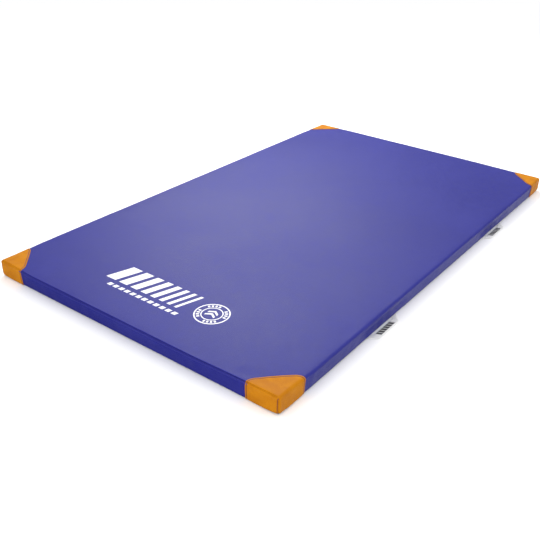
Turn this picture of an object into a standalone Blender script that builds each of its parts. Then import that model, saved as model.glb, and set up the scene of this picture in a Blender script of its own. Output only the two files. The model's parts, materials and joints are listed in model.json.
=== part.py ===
"""Gymnastics landing mat, 2.0 x 1.2 m and 60 mm thick, as separate cut, sewn and moulded pieces.

Frame: metres, +Z up, origin on the floor under the middle of the mat. Y runs along the mat and X across
it. The near end is at -Y, and the zip is in the long side at -X. Every fabric layer is a solid of its own,
and a gap of LAYER_GAP separates touching layers.

The cover is a wrap, which makes the top and folds down over both long sides, two end panels, a strip below
the zip and a bottom sheet. Each corner guard is two pieces of leather, sewn to the wrap and to the end panel.
"""

import math

import bmesh
import bpy
from mathutils import Matrix, Vector

# ---------------------------------------------------------------- driving dimensions
LENGTH = 2.000
WIDTH = 1.200
HEIGHT = 0.060
SHEET = 0.0014  # coated cover fabric
LEATHER = 0.0010
STEP_OVERLAP = 0.0001  # the lowered corners of the wrap rise this far into its flat part
JOIN_STEP = 0.0002  # faces of shapes that are joined into one piece are kept this far apart
LAYER_GAP = 0.0003
SEAM_LIP = 0.012  # seam allowance turned inwards behind each panel of the sides
END_X = WIDTH / 2
END_Y = LENGTH / 2

# Foam block: three bonded layers, listed from the floor up.
FOAM_INSET = 0.0045
BASE_FOAM_THICKNESS = 0.022
CORE_FOAM_THICKNESS = 0.022

# Corner guards: distances are measured inwards from the outer corner of the guard.
GUARD_LEG = 0.116
GUARD_DIAGONAL = 0.134  # the straight front edge is where the two distances add up to this
GUARD_SHOULDER_RADIUS = 0.040
GUARD_CORNER_RADIUS = 0.004
GUARD_LAP = 0.005  # how far the lowered corner of the wrap runs back under its flat part
GUARD_OUT = LAYER_GAP + LEATHER  # how far a guard stands outside the cover

# Carry handles: a flat loop of doubled webbing, hinged where it leaves the bottom seam.
HANDLE_PITCH = 0.900
HANDLE_SPAN = 0.180  # along the seam, over both roots
HANDLE_GRIP = 0.124  # along the outer edge, between the slanted ends
HANDLE_REACH = 0.0280  # from the fold to the outer edge
HANDLE_THICKNESS = 0.0036
HANDLE_CORNER_RADIUS = 0.012
HANDLE_FOLD_OUT = 0.0025  # the fold line lies this far outside the cover
HANDLE_FOLD_UP = 0.0019  # and this far above the floor
HANDLE_ROOT_START = 0.0009  # the loop starts this far from the fold line
HAND_SLOT_LENGTH = 0.122
HAND_SLOT_DEPTH = 0.0042  # from the fold line to the inner edge of the grip
TAB_THICKNESS = 0.0008
TAB_LENGTH = 0.026
TAB_DEPTH = 0.018
TAB_END_OUT = 0.0020  # the tab ends this far outside the cover, short of the fold line

# Zip in the long side at -X. "Out" is the distance outside the cover's side face.
ZIP_HEIGHT = 0.040  # centre line of the teeth above the floor
ZIP_LENGTH = 1.740  # row of teeth, between the two guards
TAPE_LENGTH = 1.940  # the tapes run on behind the guards
ZIP_WINDOW = 0.014  # gap between the wrap and the strip below the zip
ZIP_PARTING = 0.0010  # gap between the two rows of teeth, where the slider's web runs
TAPE_THICKNESS = 0.0008
TAPE_WIDTH = 0.0115
TAPE_OUT = -SHEET - LAYER_GAP  # outer face of the tape
TEETH_WIDTH = 0.0030
TEETH_THICKNESS = 0.0020
TEETH_OUT = TAPE_OUT + LAYER_GAP + TEETH_THICKNESS  # outer face of the teeth
STOP_LENGTH = 0.004
SLIDER_LENGTH = 0.013
SLIDER_WIDTH = 0.009
SLIDER_WEB = 0.0004
SLIDER_FRONT = 0.0010
SLIDER_BACK = 0.0012
SLIDER_FRONT_OUT = TEETH_OUT + LAYER_GAP + SLIDER_FRONT  # outer face of the front plate
EAR_THICKNESS = 0.0009
EAR_LENGTH = 0.0030
PULL_PIN_RADIUS = 0.0005
PULL_EYE_RADIUS = 0.0014
PULL_BORE_RADIUS = 0.0008
PULL_WIDTH = 0.0046
PULL_LENGTH = 0.028
PULL_THICKNESS = 0.0010
PULL_PIVOT_OUT = SLIDER_FRONT_OUT + PULL_EYE_RADIUS + LAYER_GAP

# ---------------------------------------------------------------- heights of the layers, worked out
TOP_SHEET_Z = HEIGHT - SHEET
TOP_LIP_Z = TOP_SHEET_Z - LAYER_GAP  # upper end of the end panels
LOWERED_CORNER_Z = TOP_SHEET_Z - SHEET + STEP_OVERLAP
GUARD_TOP_Z = LOWERED_CORNER_Z + SHEET + LAYER_GAP
SIDES_Z = SHEET + TAB_THICKNESS + 2 * LAYER_GAP  # lower end of the sides, above the handle tabs
FOAM_Z = SIDES_Z + SHEET + LAYER_GAP
FOAM_TOP_Z = TOP_LIP_Z - SHEET - LAYER_GAP

# ---------------------------------------------------------------- colours: (red, green, blue), roughness, metallic
FINISHES = {
    "cover_vinyl": ((0.085, 0.085, 0.36), 0.45, 0.0),
    "antislip_vinyl": ((0.045, 0.048, 0.055), 0.85, 0.0),
    "guard_leather": ((0.66, 0.27, 0.022), 0.50, 0.0),
    "handle_webbing": ((0.74, 0.74, 0.75), 0.80, 0.0),
    "firm_foam": ((0.22, 0.24, 0.27), 0.95, 0.0),
    "soft_foam": ((0.78, 0.75, 0.62), 0.95, 0.0),
    "zip_tape": ((0.025, 0.025, 0.09), 0.80, 0.0),
    "zip_metal": ((0.55, 0.55, 0.56), 0.30, 1.0),
}


def clear_scene():
    for obj in list(bpy.data.objects):
        bpy.data.objects.remove(obj, do_unlink=True)


def make_collection(name, hidden=False):
    collection = bpy.data.collections.new(name)
    collection.hide_render = hidden
    bpy.context.scene.collection.children.link(collection)
    return collection


def make_material(name):
    colour, roughness, metallic = FINISHES[name]
    material = bpy.data.materials.new(name)
    material.use_nodes = True
    shader = material.node_tree.nodes["Principled BSDF"]
    shader.inputs["Base Color"].default_value = (*colour, 1.0)
    shader.inputs["Roughness"].default_value = roughness
    shader.inputs["Metallic"].default_value = metallic
    material.diffuse_color = (*colour, 1.0)
    return material


clear_scene()
PARTS = make_collection("landing_mat")
CUTTERS = make_collection("cutters", hidden=True)
MATERIALS = {name: make_material(name) for name in FINISHES}


# ---------------------------------------------------------------- shapes
def add(obj, material):
    """Puts a new object in the mat's collection, with its material."""
    for collection in list(obj.users_collection):
        collection.objects.unlink(obj)
    PARTS.objects.link(obj)
    obj.data.materials.clear()
    obj.data.materials.append(MATERIALS[material])
    return obj


def as_mesh(obj):
    """The same object as a mesh: an outline can then be joined, cut or reshaped."""
    bpy.context.view_layer.update()
    graph = bpy.context.evaluated_depsgraph_get()
    mesh = bpy.data.meshes.new_from_object(obj.evaluated_get(graph))
    name, matrix = obj.name, obj.matrix_world.copy()
    bpy.data.objects.remove(obj, do_unlink=True)
    weld(mesh)
    made = bpy.data.objects.new(name, mesh)
    made.matrix_world = matrix
    PARTS.objects.link(made)
    return made


def weld(mesh):
    shape = bmesh.new()
    shape.from_mesh(mesh)
    bmesh.ops.remove_doubles(shape, verts=shape.verts, dist=1e-6)
    bmesh.ops.recalc_face_normals(shape, faces=shape.faces)
    shape.to_mesh(mesh)
    shape.free()


def box(name, low, high, material):
    """A box between two corners."""
    low, high = Vector(low), Vector(high)
    bpy.ops.mesh.primitive_cube_add(size=1, location=(low + high) / 2)
    obj = bpy.context.object
    obj.name = name
    obj.data.transform(Matrix.Diagonal((*(high - low), 1)))
    return add(obj, material)


def plate(name, outlines, thickness, material, matrix):
    """A flat plate. The first outline is its edge and the others are holes; matrix places its mid-plane."""
    curve = bpy.data.curves.new(name, "CURVE")
    curve.dimensions = "2D"
    curve.fill_mode = "BOTH"
    curve.extrude = thickness / 2
    for outline in outlines:
        spline = curve.splines.new("POLY")
        spline.points.add(len(outline) - 1)
        spline.use_cyclic_u = True
        for point, (x, y) in zip(spline.points, outline):
            point.co = (x, y, 0, 1)
    obj = bpy.data.objects.new(name, curve)
    obj.matrix_world = matrix
    return add(obj, material)


def combine(obj, other, operation):
    """Boolean of obj with other, which is used up."""
    PARTS.objects.unlink(other)
    CUTTERS.objects.link(other)
    other.hide_render = True
    other.display_type = "WIRE"
    boolean = obj.modifiers.new(other.name, "BOOLEAN")
    boolean.operation = operation
    boolean.object = other


def join(obj, other):
    combine(obj, other, "UNION")


def cut(obj, other):
    combine(obj, other, "DIFFERENCE")


def arc(centre, radius, start, end, steps):
    """Points along an arc, with its angles in degrees."""
    points = []
    for i in range(steps + 1):
        angle = math.radians(start + (end - start) * i / steps)
        points.append((centre[0] + radius * math.cos(angle), centre[1] + radius * math.sin(angle)))
    return points


def rounded_rectangle(half_x, half_y, radius, steps=4):
    points = []
    for sx, sy, start in ((1, 1, 0), (-1, 1, 90), (-1, -1, 180), (1, -1, 270)):
        centre = (sx * (half_x - radius), sy * (half_y - radius))
        points += arc(centre, radius, start, start + 90, steps)
    return points


def at_height(z):
    return Matrix.Translation((0, 0, z))


# ---------------------------------------------------------------- foam
def make_foam():
    """Firm base, softer core and a thin firm layer on top that spreads a landing."""
    half_x, half_y = END_X - FOAM_INSET, END_Y - FOAM_INSET
    base_top = FOAM_Z + BASE_FOAM_THICKNESS
    core_z = base_top + LAYER_GAP
    core_top = core_z + CORE_FOAM_THICKNESS
    layers = (
        ("foam_base_layer", FOAM_Z, base_top, "firm_foam"),
        ("foam_core_layer", core_z, core_top, "soft_foam"),
        ("foam_top_layer", core_top + LAYER_GAP, FOAM_TOP_Z, "firm_foam"),
    )
    for name, low_z, high_z, material in layers:
        box(name, (-half_x, -half_y, low_z), (half_x, half_y, high_z), material)


# ---------------------------------------------------------------- corner guards
def guard_edge(offset):
    """The front edge of a guard's top patch, as distances from the corner, from one leg to the other.

    It leaves each side of the mat square, then a shoulder arc turns it into the diagonal. offset moves the
    edge away from the corner.
    """
    leg, radius = GUARD_LEG + offset, GUARD_SHOULDER_RADIUS + offset
    diagonal = GUARD_DIAGONAL + offset * math.sqrt(2)
    tangent = radius * math.tan(math.radians(45 / 2))
    centre = (diagonal - leg - tangent, leg - radius)
    first_half = [(0.0, leg)] + arc(centre, radius, 90, 45, 5)
    return first_half + [(y, x) for x, y in reversed(first_half)]


def corners():
    """Each corner's name and signs."""
    for end, sign_y in (("near", -1), ("far", 1)):
        for side, sign_x in (("left", -1), ("right", 1)):
            yield f"{end}_{side}", sign_x, sign_y


def from_corner(points, sign_x, sign_y, out):
    """Distances from a corner as points of the mat. out is how far the corner lies outside the cover."""
    return [(sign_x * (END_X + out - dx), sign_y * (END_Y + out - dy)) for dx, dy in points]


def guard_wrap_piece(corner, sign_x, sign_y):
    """The leather on top of the mat, in the wrap's lowered corner, folded down over the long side."""
    tip = arc((GUARD_CORNER_RADIUS,) * 2, GUARD_CORNER_RADIUS, 270, 180, 3)
    outline = from_corner(guard_edge(0) + tip, sign_x, sign_y, GUARD_OUT)
    place = at_height(GUARD_TOP_Z + LEATHER / 2)
    top = as_mesh(plate(f"guard_{corner}_wrap_piece", [outline], LEATHER, "guard_leather", place))
    across = sorted((sign_x * (END_X + LAYER_GAP), sign_x * (END_X + GUARD_OUT - JOIN_STEP)))
    start, stop = GUARD_CORNER_RADIUS, GUARD_LEG - JOIN_STEP
    along = sorted((sign_y * (END_Y + GUARD_OUT - start), sign_y * (END_Y + GUARD_OUT - stop)))
    low, high = (across[0], along[0], 0.0), (across[1], along[1], GUARD_TOP_Z + LEATHER / 2)
    join(top, box(f"flap_{corner}", low, high, "guard_leather"))


def guard_end_piece(corner, sign_x, sign_y):
    """The leather on the end panel. It runs on round the corner, to the edge of the other piece."""
    along_x = sorted((sign_x * END_X, sign_x * (END_X + GUARD_OUT - GUARD_LEG)))
    along_y = sorted((sign_y * (END_Y + LAYER_GAP), sign_y * (END_Y + GUARD_OUT)))
    low, high = (along_x[0], along_y[0], 0.0), (along_x[1], along_y[1], GUARD_TOP_Z - LAYER_GAP)
    box(f"guard_{corner}_end_piece", low, high, "guard_leather")


def make_guards():
    for corner, sign_x, sign_y in corners():
        guard_wrap_piece(corner, sign_x, sign_y)
        guard_end_piece(corner, sign_x, sign_y)


# ---------------------------------------------------------------- cover
def wrap_top():
    """The flat part of the wrap. Its corners are cut away along the guards' edges."""
    cut_edge = guard_edge(LAYER_GAP)
    outline = []
    for sign_x, sign_y in ((1, 1), (-1, 1), (-1, -1), (1, -1)):
        edge = from_corner(cut_edge[1:-1], sign_x, sign_y, GUARD_OUT)
        edge[0] = (sign_x * END_X, edge[0][1])
        edge[-1] = (edge[-1][0], sign_y * END_Y)
        # The edge runs from the long side to the end; every second corner is passed the other way.
        outline += edge[::-1] if sign_x * sign_y < 0 else edge
    return as_mesh(plate("cover_wrap", [outline], SHEET, "cover_vinyl", at_height(TOP_SHEET_Z + SHEET / 2)))


def lowered_corner(corner, sign_x, sign_y):
    """A corner of the wrap, one thickness lower, so that the guard's leather lies flush with the top."""
    end_clear = GUARD_OUT + SEAM_LIP + 2 * LAYER_GAP
    side_clear = GUARD_OUT + 2 * JOIN_STEP
    leg = GUARD_LEG + GUARD_LAP
    lap = [(x, y) for x, y in guard_edge(GUARD_LAP) if x > side_clear and y >= end_clear]
    outline = [(side_clear, end_clear), (side_clear, leg), *lap[1:], (leg, end_clear)]
    points = from_corner(outline, sign_x, sign_y, GUARD_OUT)
    place = at_height(LOWERED_CORNER_Z + SHEET / 2)
    return as_mesh(plate(f"lowered_{corner}", [points], SHEET, "cover_vinyl", place))


def make_wrap():
    """Top and both long sides in one, down to the bottom seam at +X and to the zip at -X."""
    wrap = wrap_top()
    for corner, sign_x, sign_y in corners():
        join(wrap, lowered_corner(corner, sign_x, sign_y))
    outer, inner, high = JOIN_STEP / 2, SHEET, TOP_SHEET_Z + SHEET / 2
    low, window = SIDES_Z, ZIP_HEIGHT + ZIP_WINDOW / 2
    bottom_lip = [(inner, low + SHEET), (SEAM_LIP, low + SHEET), (SEAM_LIP, low), (outer, low)]
    right = [(outer, high), (inner, high)] + bottom_lip
    left = [(outer, high), (inner, high), (inner, window), (outer, window)]
    flat_end = END_Y + GUARD_OUT - GUARD_LEG - LAYER_GAP - JOIN_STEP
    step_z = LOWERED_CORNER_Z + SHEET / 2
    for name, profile, turn in (("wrap_right", right, 0), ("wrap_left", left, 180)):
        wall = side_panel(name, profile, LENGTH, turn, END_X)
        for sign_y in (1, -1):
            along = sorted((sign_y * flat_end, sign_y * LENGTH))
            step = box(f"{name}_step", (-WIDTH, along[0], step_z), (WIDTH, along[1], HEIGHT), "cover_vinyl")
            cut(wall, step)
        join(wrap, wall)


def make_bottom_sheet():
    outline = rounded_rectangle(END_X, END_Y, GUARD_CORNER_RADIUS)
    plate("cover_bottom_sheet", [outline], SHEET, "antislip_vinyl", at_height(SHEET / 2))


def side_panel(name, profile, side_length, turn, face):
    """A panel of the sides: its profile, as (inwards, up) points, run along a side and mitred at both ends.

    turn is the angle, in degrees, of the side about the mat's middle, and face is how far out that side is.
    """
    run_along_y = Matrix(((-1, 0, 0, 0), (0, 0, 1, 0), (0, 1, 0, 0), (0, 0, 0, 1)))
    panel = as_mesh(plate(name, [profile], side_length, "cover_vinyl", run_along_y))
    panel.data.transform(panel.matrix_world)
    for vertex in panel.data.vertices:
        inwards = -vertex.co.x
        mitred = side_length / 2 - inwards - LAYER_GAP
        vertex.co.y = math.copysign(mitred, vertex.co.y)
        vertex.co.x += face
    panel.matrix_world = Matrix.Rotation(math.radians(turn), 4, "Z")
    return panel


def make_side_panels():
    """The two end panels, and the strip below the zip."""
    low, high = SIDES_Z, TOP_LIP_Z
    bottom_lip = [(SHEET, low + SHEET), (SEAM_LIP, low + SHEET), (SEAM_LIP, low), (0, low)]
    top_lip = [(0, high), (SEAM_LIP, high), (SEAM_LIP, high - SHEET), (SHEET, high - SHEET)]
    side_panel("cover_end_far", top_lip + bottom_lip, WIDTH, 90, END_Y)
    side_panel("cover_end_near", top_lip + bottom_lip, WIDTH, -90, END_Y)
    window = ZIP_HEIGHT - ZIP_WINDOW / 2
    strip = [(0, window), (SHEET, window)] + bottom_lip
    side_panel("cover_strip_below_zip", strip, LENGTH, 180, END_X)


# ---------------------------------------------------------------- zip
def on_zip_side(name, out, height, along, material):
    """A box on the side at -X. Each argument is a pair: out from the cover, above the zip, along the mat."""
    low = (-END_X - out[1], along[0], ZIP_HEIGHT + height[0])
    high = (-END_X - out[0], along[1], ZIP_HEIGHT + height[1])
    return box(name, low, high, material)


def make_zip_chain():
    half, edge = ZIP_LENGTH / 2, ZIP_PARTING / 2
    tape_along = (-TAPE_LENGTH / 2, TAPE_LENGTH / 2)
    for name, sign in (("upper", 1), ("lower", -1)):
        tape_height = sorted((sign * edge, sign * TAPE_WIDTH))
        tape_out = (TAPE_OUT - TAPE_THICKNESS, TAPE_OUT)
        on_zip_side(f"zip_tape_{name}", tape_out, tape_height, tape_along, "zip_tape")
        teeth_height = sorted((sign * edge, sign * (edge + TEETH_WIDTH)))
        teeth_out = (TEETH_OUT - TEETH_THICKNESS, TEETH_OUT)
        on_zip_side(f"zip_teeth_{name}", teeth_out, teeth_height, (-half, half), "zip_tape")
    across = (-edge - TEETH_WIDTH, edge + TEETH_WIDTH)
    for name, sign in (("far", 1), ("near", -1)):
        start = half + LAYER_GAP
        along = sorted((sign * start, sign * (start + STOP_LENGTH)))
        stop_out = (TEETH_OUT - TEETH_THICKNESS, TEETH_OUT)
        on_zip_side(f"zip_{name}_stop", stop_out, across, along, "zip_metal")


def slider_y():
    """The slider's middle when the zip is shut, against the far stop."""
    return ZIP_LENGTH / 2 - SLIDER_LENGTH / 2


def make_zip_slider():
    """Front and back plates joined by the web that runs between the teeth, with ears for the pull's pin."""
    middle = slider_y()
    along = (middle - SLIDER_LENGTH / 2, middle + SLIDER_LENGTH / 2)
    wide = (-SLIDER_WIDTH / 2, SLIDER_WIDTH / 2)
    back_out = TAPE_OUT - TAPE_THICKNESS - LAYER_GAP
    overlap = LAYER_GAP
    front = (SLIDER_FRONT_OUT - SLIDER_FRONT, SLIDER_FRONT_OUT)
    slider = on_zip_side("zip_slider", front, wide, along, "zip_metal")
    web_out = (back_out - overlap, front[0] + overlap)
    web_wide = (-SLIDER_WEB / 2, SLIDER_WEB / 2)
    web_along = (along[0] + overlap, along[1] - overlap)
    join(slider, on_zip_side("slider_web", web_out, web_wide, web_along, "zip_metal"))
    join(slider, on_zip_side("slider_back", (back_out - SLIDER_BACK, back_out), wide, along, "zip_metal"))
    ear_start = PULL_WIDTH / 2 + LAYER_GAP
    ear_out = (front[1] - overlap, PULL_PIVOT_OUT + EAR_LENGTH / 2)
    ear_along = (middle - EAR_LENGTH / 2, middle + EAR_LENGTH / 2)
    for name, sign in (("upper", 1), ("lower", -1)):
        height = sorted((sign * ear_start, sign * (ear_start + EAR_THICKNESS)))
        join(slider, on_zip_side(f"slider_{name}_ear", ear_out, height, ear_along, "zip_metal"))
    bpy.ops.mesh.primitive_cylinder_add(
        vertices=16,
        radius=PULL_PIN_RADIUS,
        depth=PULL_WIDTH + 2 * LAYER_GAP + EAR_THICKNESS,
        location=(-END_X - PULL_PIVOT_OUT, middle, ZIP_HEIGHT),
    )
    pin = bpy.context.object
    pin.name = "slider_pin"
    join(slider, add(pin, "zip_metal"))


def make_zip_pull():
    """Flat tab with an eye round the slider's pin. It lies along the teeth, pointing the way the zip opens."""
    eye = arc((0, 0), PULL_EYE_RADIUS, 20, 340, 14)
    tab_half = PULL_THICKNESS / 2
    end = PULL_LENGTH
    outline = eye + [(end - tab_half, -tab_half)] + arc((end - tab_half, 0), tab_half, -60, 60, 4)
    outline += [(end - tab_half, tab_half)]
    bore = arc((0, 0), PULL_BORE_RADIUS, 0, 345, 15)
    turn = Matrix.Rotation(math.radians(-90), 4, "Z")
    pivot = Matrix.Translation((-END_X - PULL_PIVOT_OUT, slider_y(), ZIP_HEIGHT))
    plate("zip_pull", [outline, bore], PULL_WIDTH, "zip_metal", pivot @ turn)


# ---------------------------------------------------------------- handles
def handle_outline():
    """The loop as (along the seam, out from the fold): a shallow trapezoid with rounded outer corners."""
    half_root, half_grip = HANDLE_SPAN / 2, HANDLE_GRIP / 2
    slant = math.degrees(math.atan2(HANDLE_REACH - HANDLE_ROOT_START, half_root - half_grip))
    # The corner arc touches the outer edge and the slanted end.
    reach = HANDLE_CORNER_RADIUS * math.tan(math.radians(slant / 2))
    centre = (half_grip - reach, HANDLE_REACH - HANDLE_CORNER_RADIUS)
    corner = arc(centre, HANDLE_CORNER_RADIUS, 90 - slant, 90, 5)
    half = [(half_root, HANDLE_ROOT_START)] + corner
    slot = arc((HAND_SLOT_LENGTH / 2 - 0.002, HAND_SLOT_DEPTH - 0.002), 0.002, 0, 90, 3)
    inner = [(HAND_SLOT_LENGTH / 2, HANDLE_ROOT_START)] + slot
    right = half + [(-x, y) for x, y in reversed(half)]
    return right + [(-x, y) for x, y in inner] + list(reversed(inner))


def make_handles():
    tab_z = SHEET + LAYER_GAP + TAB_THICKNESS / 2
    root_length = (HANDLE_SPAN - HAND_SLOT_LENGTH) / 2
    for side, sign_x in (("left", -1), ("right", 1)):
        for end, sign_y in (("near", -1), ("far", 1)):
            middle = sign_y * HANDLE_PITCH / 2
            fold = Matrix.Translation((sign_x * (END_X + HANDLE_FOLD_OUT), middle, HANDLE_FOLD_UP))
            outwards = Matrix.Rotation(math.radians(-90 * sign_x), 4, "Z")
            name = f"handle_{side}_{end}"
            plate(name, [handle_outline()], HANDLE_THICKNESS, "handle_webbing", fold @ outwards)
            for which, sign in (("near", -1), ("far", 1)):
                root = middle + sign * (HANDLE_SPAN / 2 - root_length / 2)
                outer, inner = sign_x * (END_X + TAB_END_OUT), sign_x * (END_X - TAB_DEPTH)
                box(
                    f"{name}_{which}_tab",
                    (min(outer, inner), root - TAB_LENGTH / 2, tab_z - TAB_THICKNESS / 2),
                    (max(outer, inner), root + TAB_LENGTH / 2, tab_z + TAB_THICKNESS / 2),
                    "handle_webbing",
                )


make_foam()
make_wrap()
make_side_panels()
make_bottom_sheet()
make_guards()
make_zip_chain()
make_zip_slider()
make_zip_pull()
make_handles()
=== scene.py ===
import json
import math

import bmesh
import bpy
import numpy as np
from mathutils import Matrix, Vector, noise
from mathutils.geometry import delaunay_2d_cdt


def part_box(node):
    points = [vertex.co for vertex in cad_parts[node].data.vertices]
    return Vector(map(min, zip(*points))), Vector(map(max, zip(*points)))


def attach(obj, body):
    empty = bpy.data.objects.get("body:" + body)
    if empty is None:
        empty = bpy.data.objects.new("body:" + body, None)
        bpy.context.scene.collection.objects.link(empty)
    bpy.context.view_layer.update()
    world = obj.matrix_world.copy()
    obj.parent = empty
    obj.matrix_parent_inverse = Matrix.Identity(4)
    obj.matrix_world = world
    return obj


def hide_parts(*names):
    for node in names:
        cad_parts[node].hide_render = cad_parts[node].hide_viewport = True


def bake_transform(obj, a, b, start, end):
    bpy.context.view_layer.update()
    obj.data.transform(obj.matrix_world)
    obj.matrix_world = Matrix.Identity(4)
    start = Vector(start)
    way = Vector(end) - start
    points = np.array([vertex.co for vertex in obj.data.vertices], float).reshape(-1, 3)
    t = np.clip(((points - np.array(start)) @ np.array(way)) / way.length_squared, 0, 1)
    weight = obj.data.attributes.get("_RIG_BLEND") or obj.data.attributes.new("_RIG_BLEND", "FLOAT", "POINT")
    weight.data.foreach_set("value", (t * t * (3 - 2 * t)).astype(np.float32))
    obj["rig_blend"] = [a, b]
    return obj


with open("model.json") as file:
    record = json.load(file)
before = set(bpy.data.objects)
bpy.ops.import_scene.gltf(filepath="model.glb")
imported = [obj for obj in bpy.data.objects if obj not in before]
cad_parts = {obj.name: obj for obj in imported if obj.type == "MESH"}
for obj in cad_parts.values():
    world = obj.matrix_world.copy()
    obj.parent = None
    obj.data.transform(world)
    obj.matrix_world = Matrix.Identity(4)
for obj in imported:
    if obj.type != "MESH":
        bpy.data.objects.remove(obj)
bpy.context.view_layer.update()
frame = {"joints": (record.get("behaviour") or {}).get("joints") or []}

# ---------------------------------------------------------------- sizes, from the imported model
HALF_X, HALF_Y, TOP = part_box("cover_wrap")[1]
GUARD_LOW, GUARD_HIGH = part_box("guard_near_right_wrap_piece")
GUARD_OUT = GUARD_HIGH.x - HALF_X
GUARD_LEG = GUARD_HIGH.x - GUARD_LOW.x
GUARD_DIAGONAL, GUARD_SHOULDER = 0.134, 0.040  # the sum of both distances in, and the bend at its ends
ZIP_Z = (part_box("zip_teeth_lower")[0].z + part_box("zip_teeth_upper")[1].z) / 2
STRIP_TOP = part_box("cover_strip_below_zip")[1].z
WRAP_LEFT_LOW = 2 * ZIP_Z - STRIP_TOP
HANDLE_MIDDLE = abs(sum(corner.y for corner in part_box("handle_right_near"))) / 2

# Rounding of the cover over the foam: the long edges are soft folds, and the ends have a tighter seam.
ROUND_X, ROUND_Y = 0.0090, 0.0065
ROUND_TOP, ROUND_BOTTOM = 0.0075, 0.0060
CORNER_LIFT, CORNER_REACH = 0.009, 0.032  # larger bottom rounding at the four corners
# Between the corners, the top edges stand out past the foot of the sides.
OVERHANG_RIGHT, OVERHANG_LEFT, OVERHANG_NEAR, OVERHANG_FAR = 0.0080, 0.0060, 0.0072, 0.0062
OVERHANG_TOP = 0.054  # height at which it is complete
OVERHANG_START = 0.045  # from each corner, along the edge
OVERHANG_GROWTH, LONG_GROWTH = 0.14, 0.32  # length of edge over which it grows
OVERHANG_FADE = 0.07  # width of the top's border that shifts with it
HELD_HEIGHT, HELD_HALF, HELD_FADE = 0.028, 0.17, 0.07  # upright foot beside each folded handle
NEARLY = 1e-6  # a point this close to a plane of the plain box lies on it
WAVES, SMALL_WAVES, RIDGE, RIPPLES = 0.0011, 0.00040, 0.00045, 0.00030  # heights on the cover
SEAM = 0.0013  # half the width of a seam's groove
TOP_GROOVE, CORNER_GROOVE, LOW_GROOVE = 0.0025, 0.0012, 0.0011  # depths
LEATHER_TOP_GROOVE, LEATHER_CORNER_GROOVE = 0.0009, 0.0017
BELLY_END, BELLY_SIDE = 0.0008, 0.0002
FABRIC = 0.0008
LEATHER = 0.0012
LEATHER_FACE = 0.0015  # outer face of the leather above the cover
COVER_CELL, BOTTOM_CELL = 0.014, 0.020  # mesh of the cover's sheets, away from their edges


def linked(name, data):
    """A new object in the scene, holding this data."""
    obj = bpy.data.objects.new(name, data)
    bpy.context.scene.collection.objects.link(obj)
    return obj


def from_shape(name, shape, smooth=False):
    """A new object from a bmesh, which is freed."""
    mesh = bpy.data.meshes.new(name)
    shape.to_mesh(mesh)
    shape.free()
    if smooth:
        mesh.polygons.foreach_set("use_smooth", [True] * len(mesh.polygons))
    return linked(name, mesh)


# ---------------------------------------------------------------- the cover pulled over its foam
PULL_CELL, PULL_RISE = 0.025, 0.012  # grid of the simulated cover, along it and up its sides
PULL_FRAMES = 22
PULL_CAP = 0.0016  # furthest that a point of the cover moves


def spaced(low, high, cell):
    return np.linspace(low, high, max(1, round((high - low) / cell)) + 1)


def pull_cover():
    """Cloth simulation of the closed cover, held along its seams, with the foam pressing out from inside.

    Gives each side's grid: its two axes, their coordinates, and how far each point moved.
    """
    xs, ys = spaced(-HALF_X, HALF_X, PULL_CELL), spaced(-HALF_Y, HALF_Y, PULL_CELL)
    zs = spaced(0, TOP, PULL_RISE)
    sides = {
        "above": (0, 1, xs, ys, (2, TOP)), "under": (0, 1, xs, ys, (2, 0.0)),
        "left": (1, 2, ys, zs, (0, -HALF_X)), "right": (1, 2, ys, zs, (0, HALF_X)),
        "near": (0, 2, xs, zs, (1, -HALF_Y)), "far": (0, 2, xs, zs, (1, HALF_Y)),
    }
    verts, index, faces, grids = [], {}, [], {}
    for name, (u_axis, v_axis, us, vs, (axis, level)) in sides.items():
        ids = np.zeros((len(us), len(vs)), int)
        for i, u in enumerate(us):
            for j, v in enumerate(vs):
                point = [0.0, 0.0, 0.0]
                point[u_axis], point[v_axis], point[axis] = u, v, level
                key = tuple(round(c, 5) for c in point)
                if key not in index:
                    index[key] = len(verts)
                    verts.append(point)
                ids[i, j] = index[key]
        grids[name] = ids
        for i in range(len(us) - 1):
            for j in range(len(vs) - 1):
                faces.append((ids[i, j], ids[i + 1, j], ids[i + 1, j + 1], ids[i, j + 1]))
    start = np.array(verts)
    moved = np.zeros_like(start)
    moved = simulated(start, [tuple(int(i) for i in face) for face in faces]) - start
    size = np.linalg.norm(moved, axis=1)
    moved *= (PULL_CAP * np.tanh(size / PULL_CAP) / np.maximum(size, 1e-9))[:, None]
    return {name: (*sides[name][:4], moved[ids]) for name, ids in grids.items()}


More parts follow.
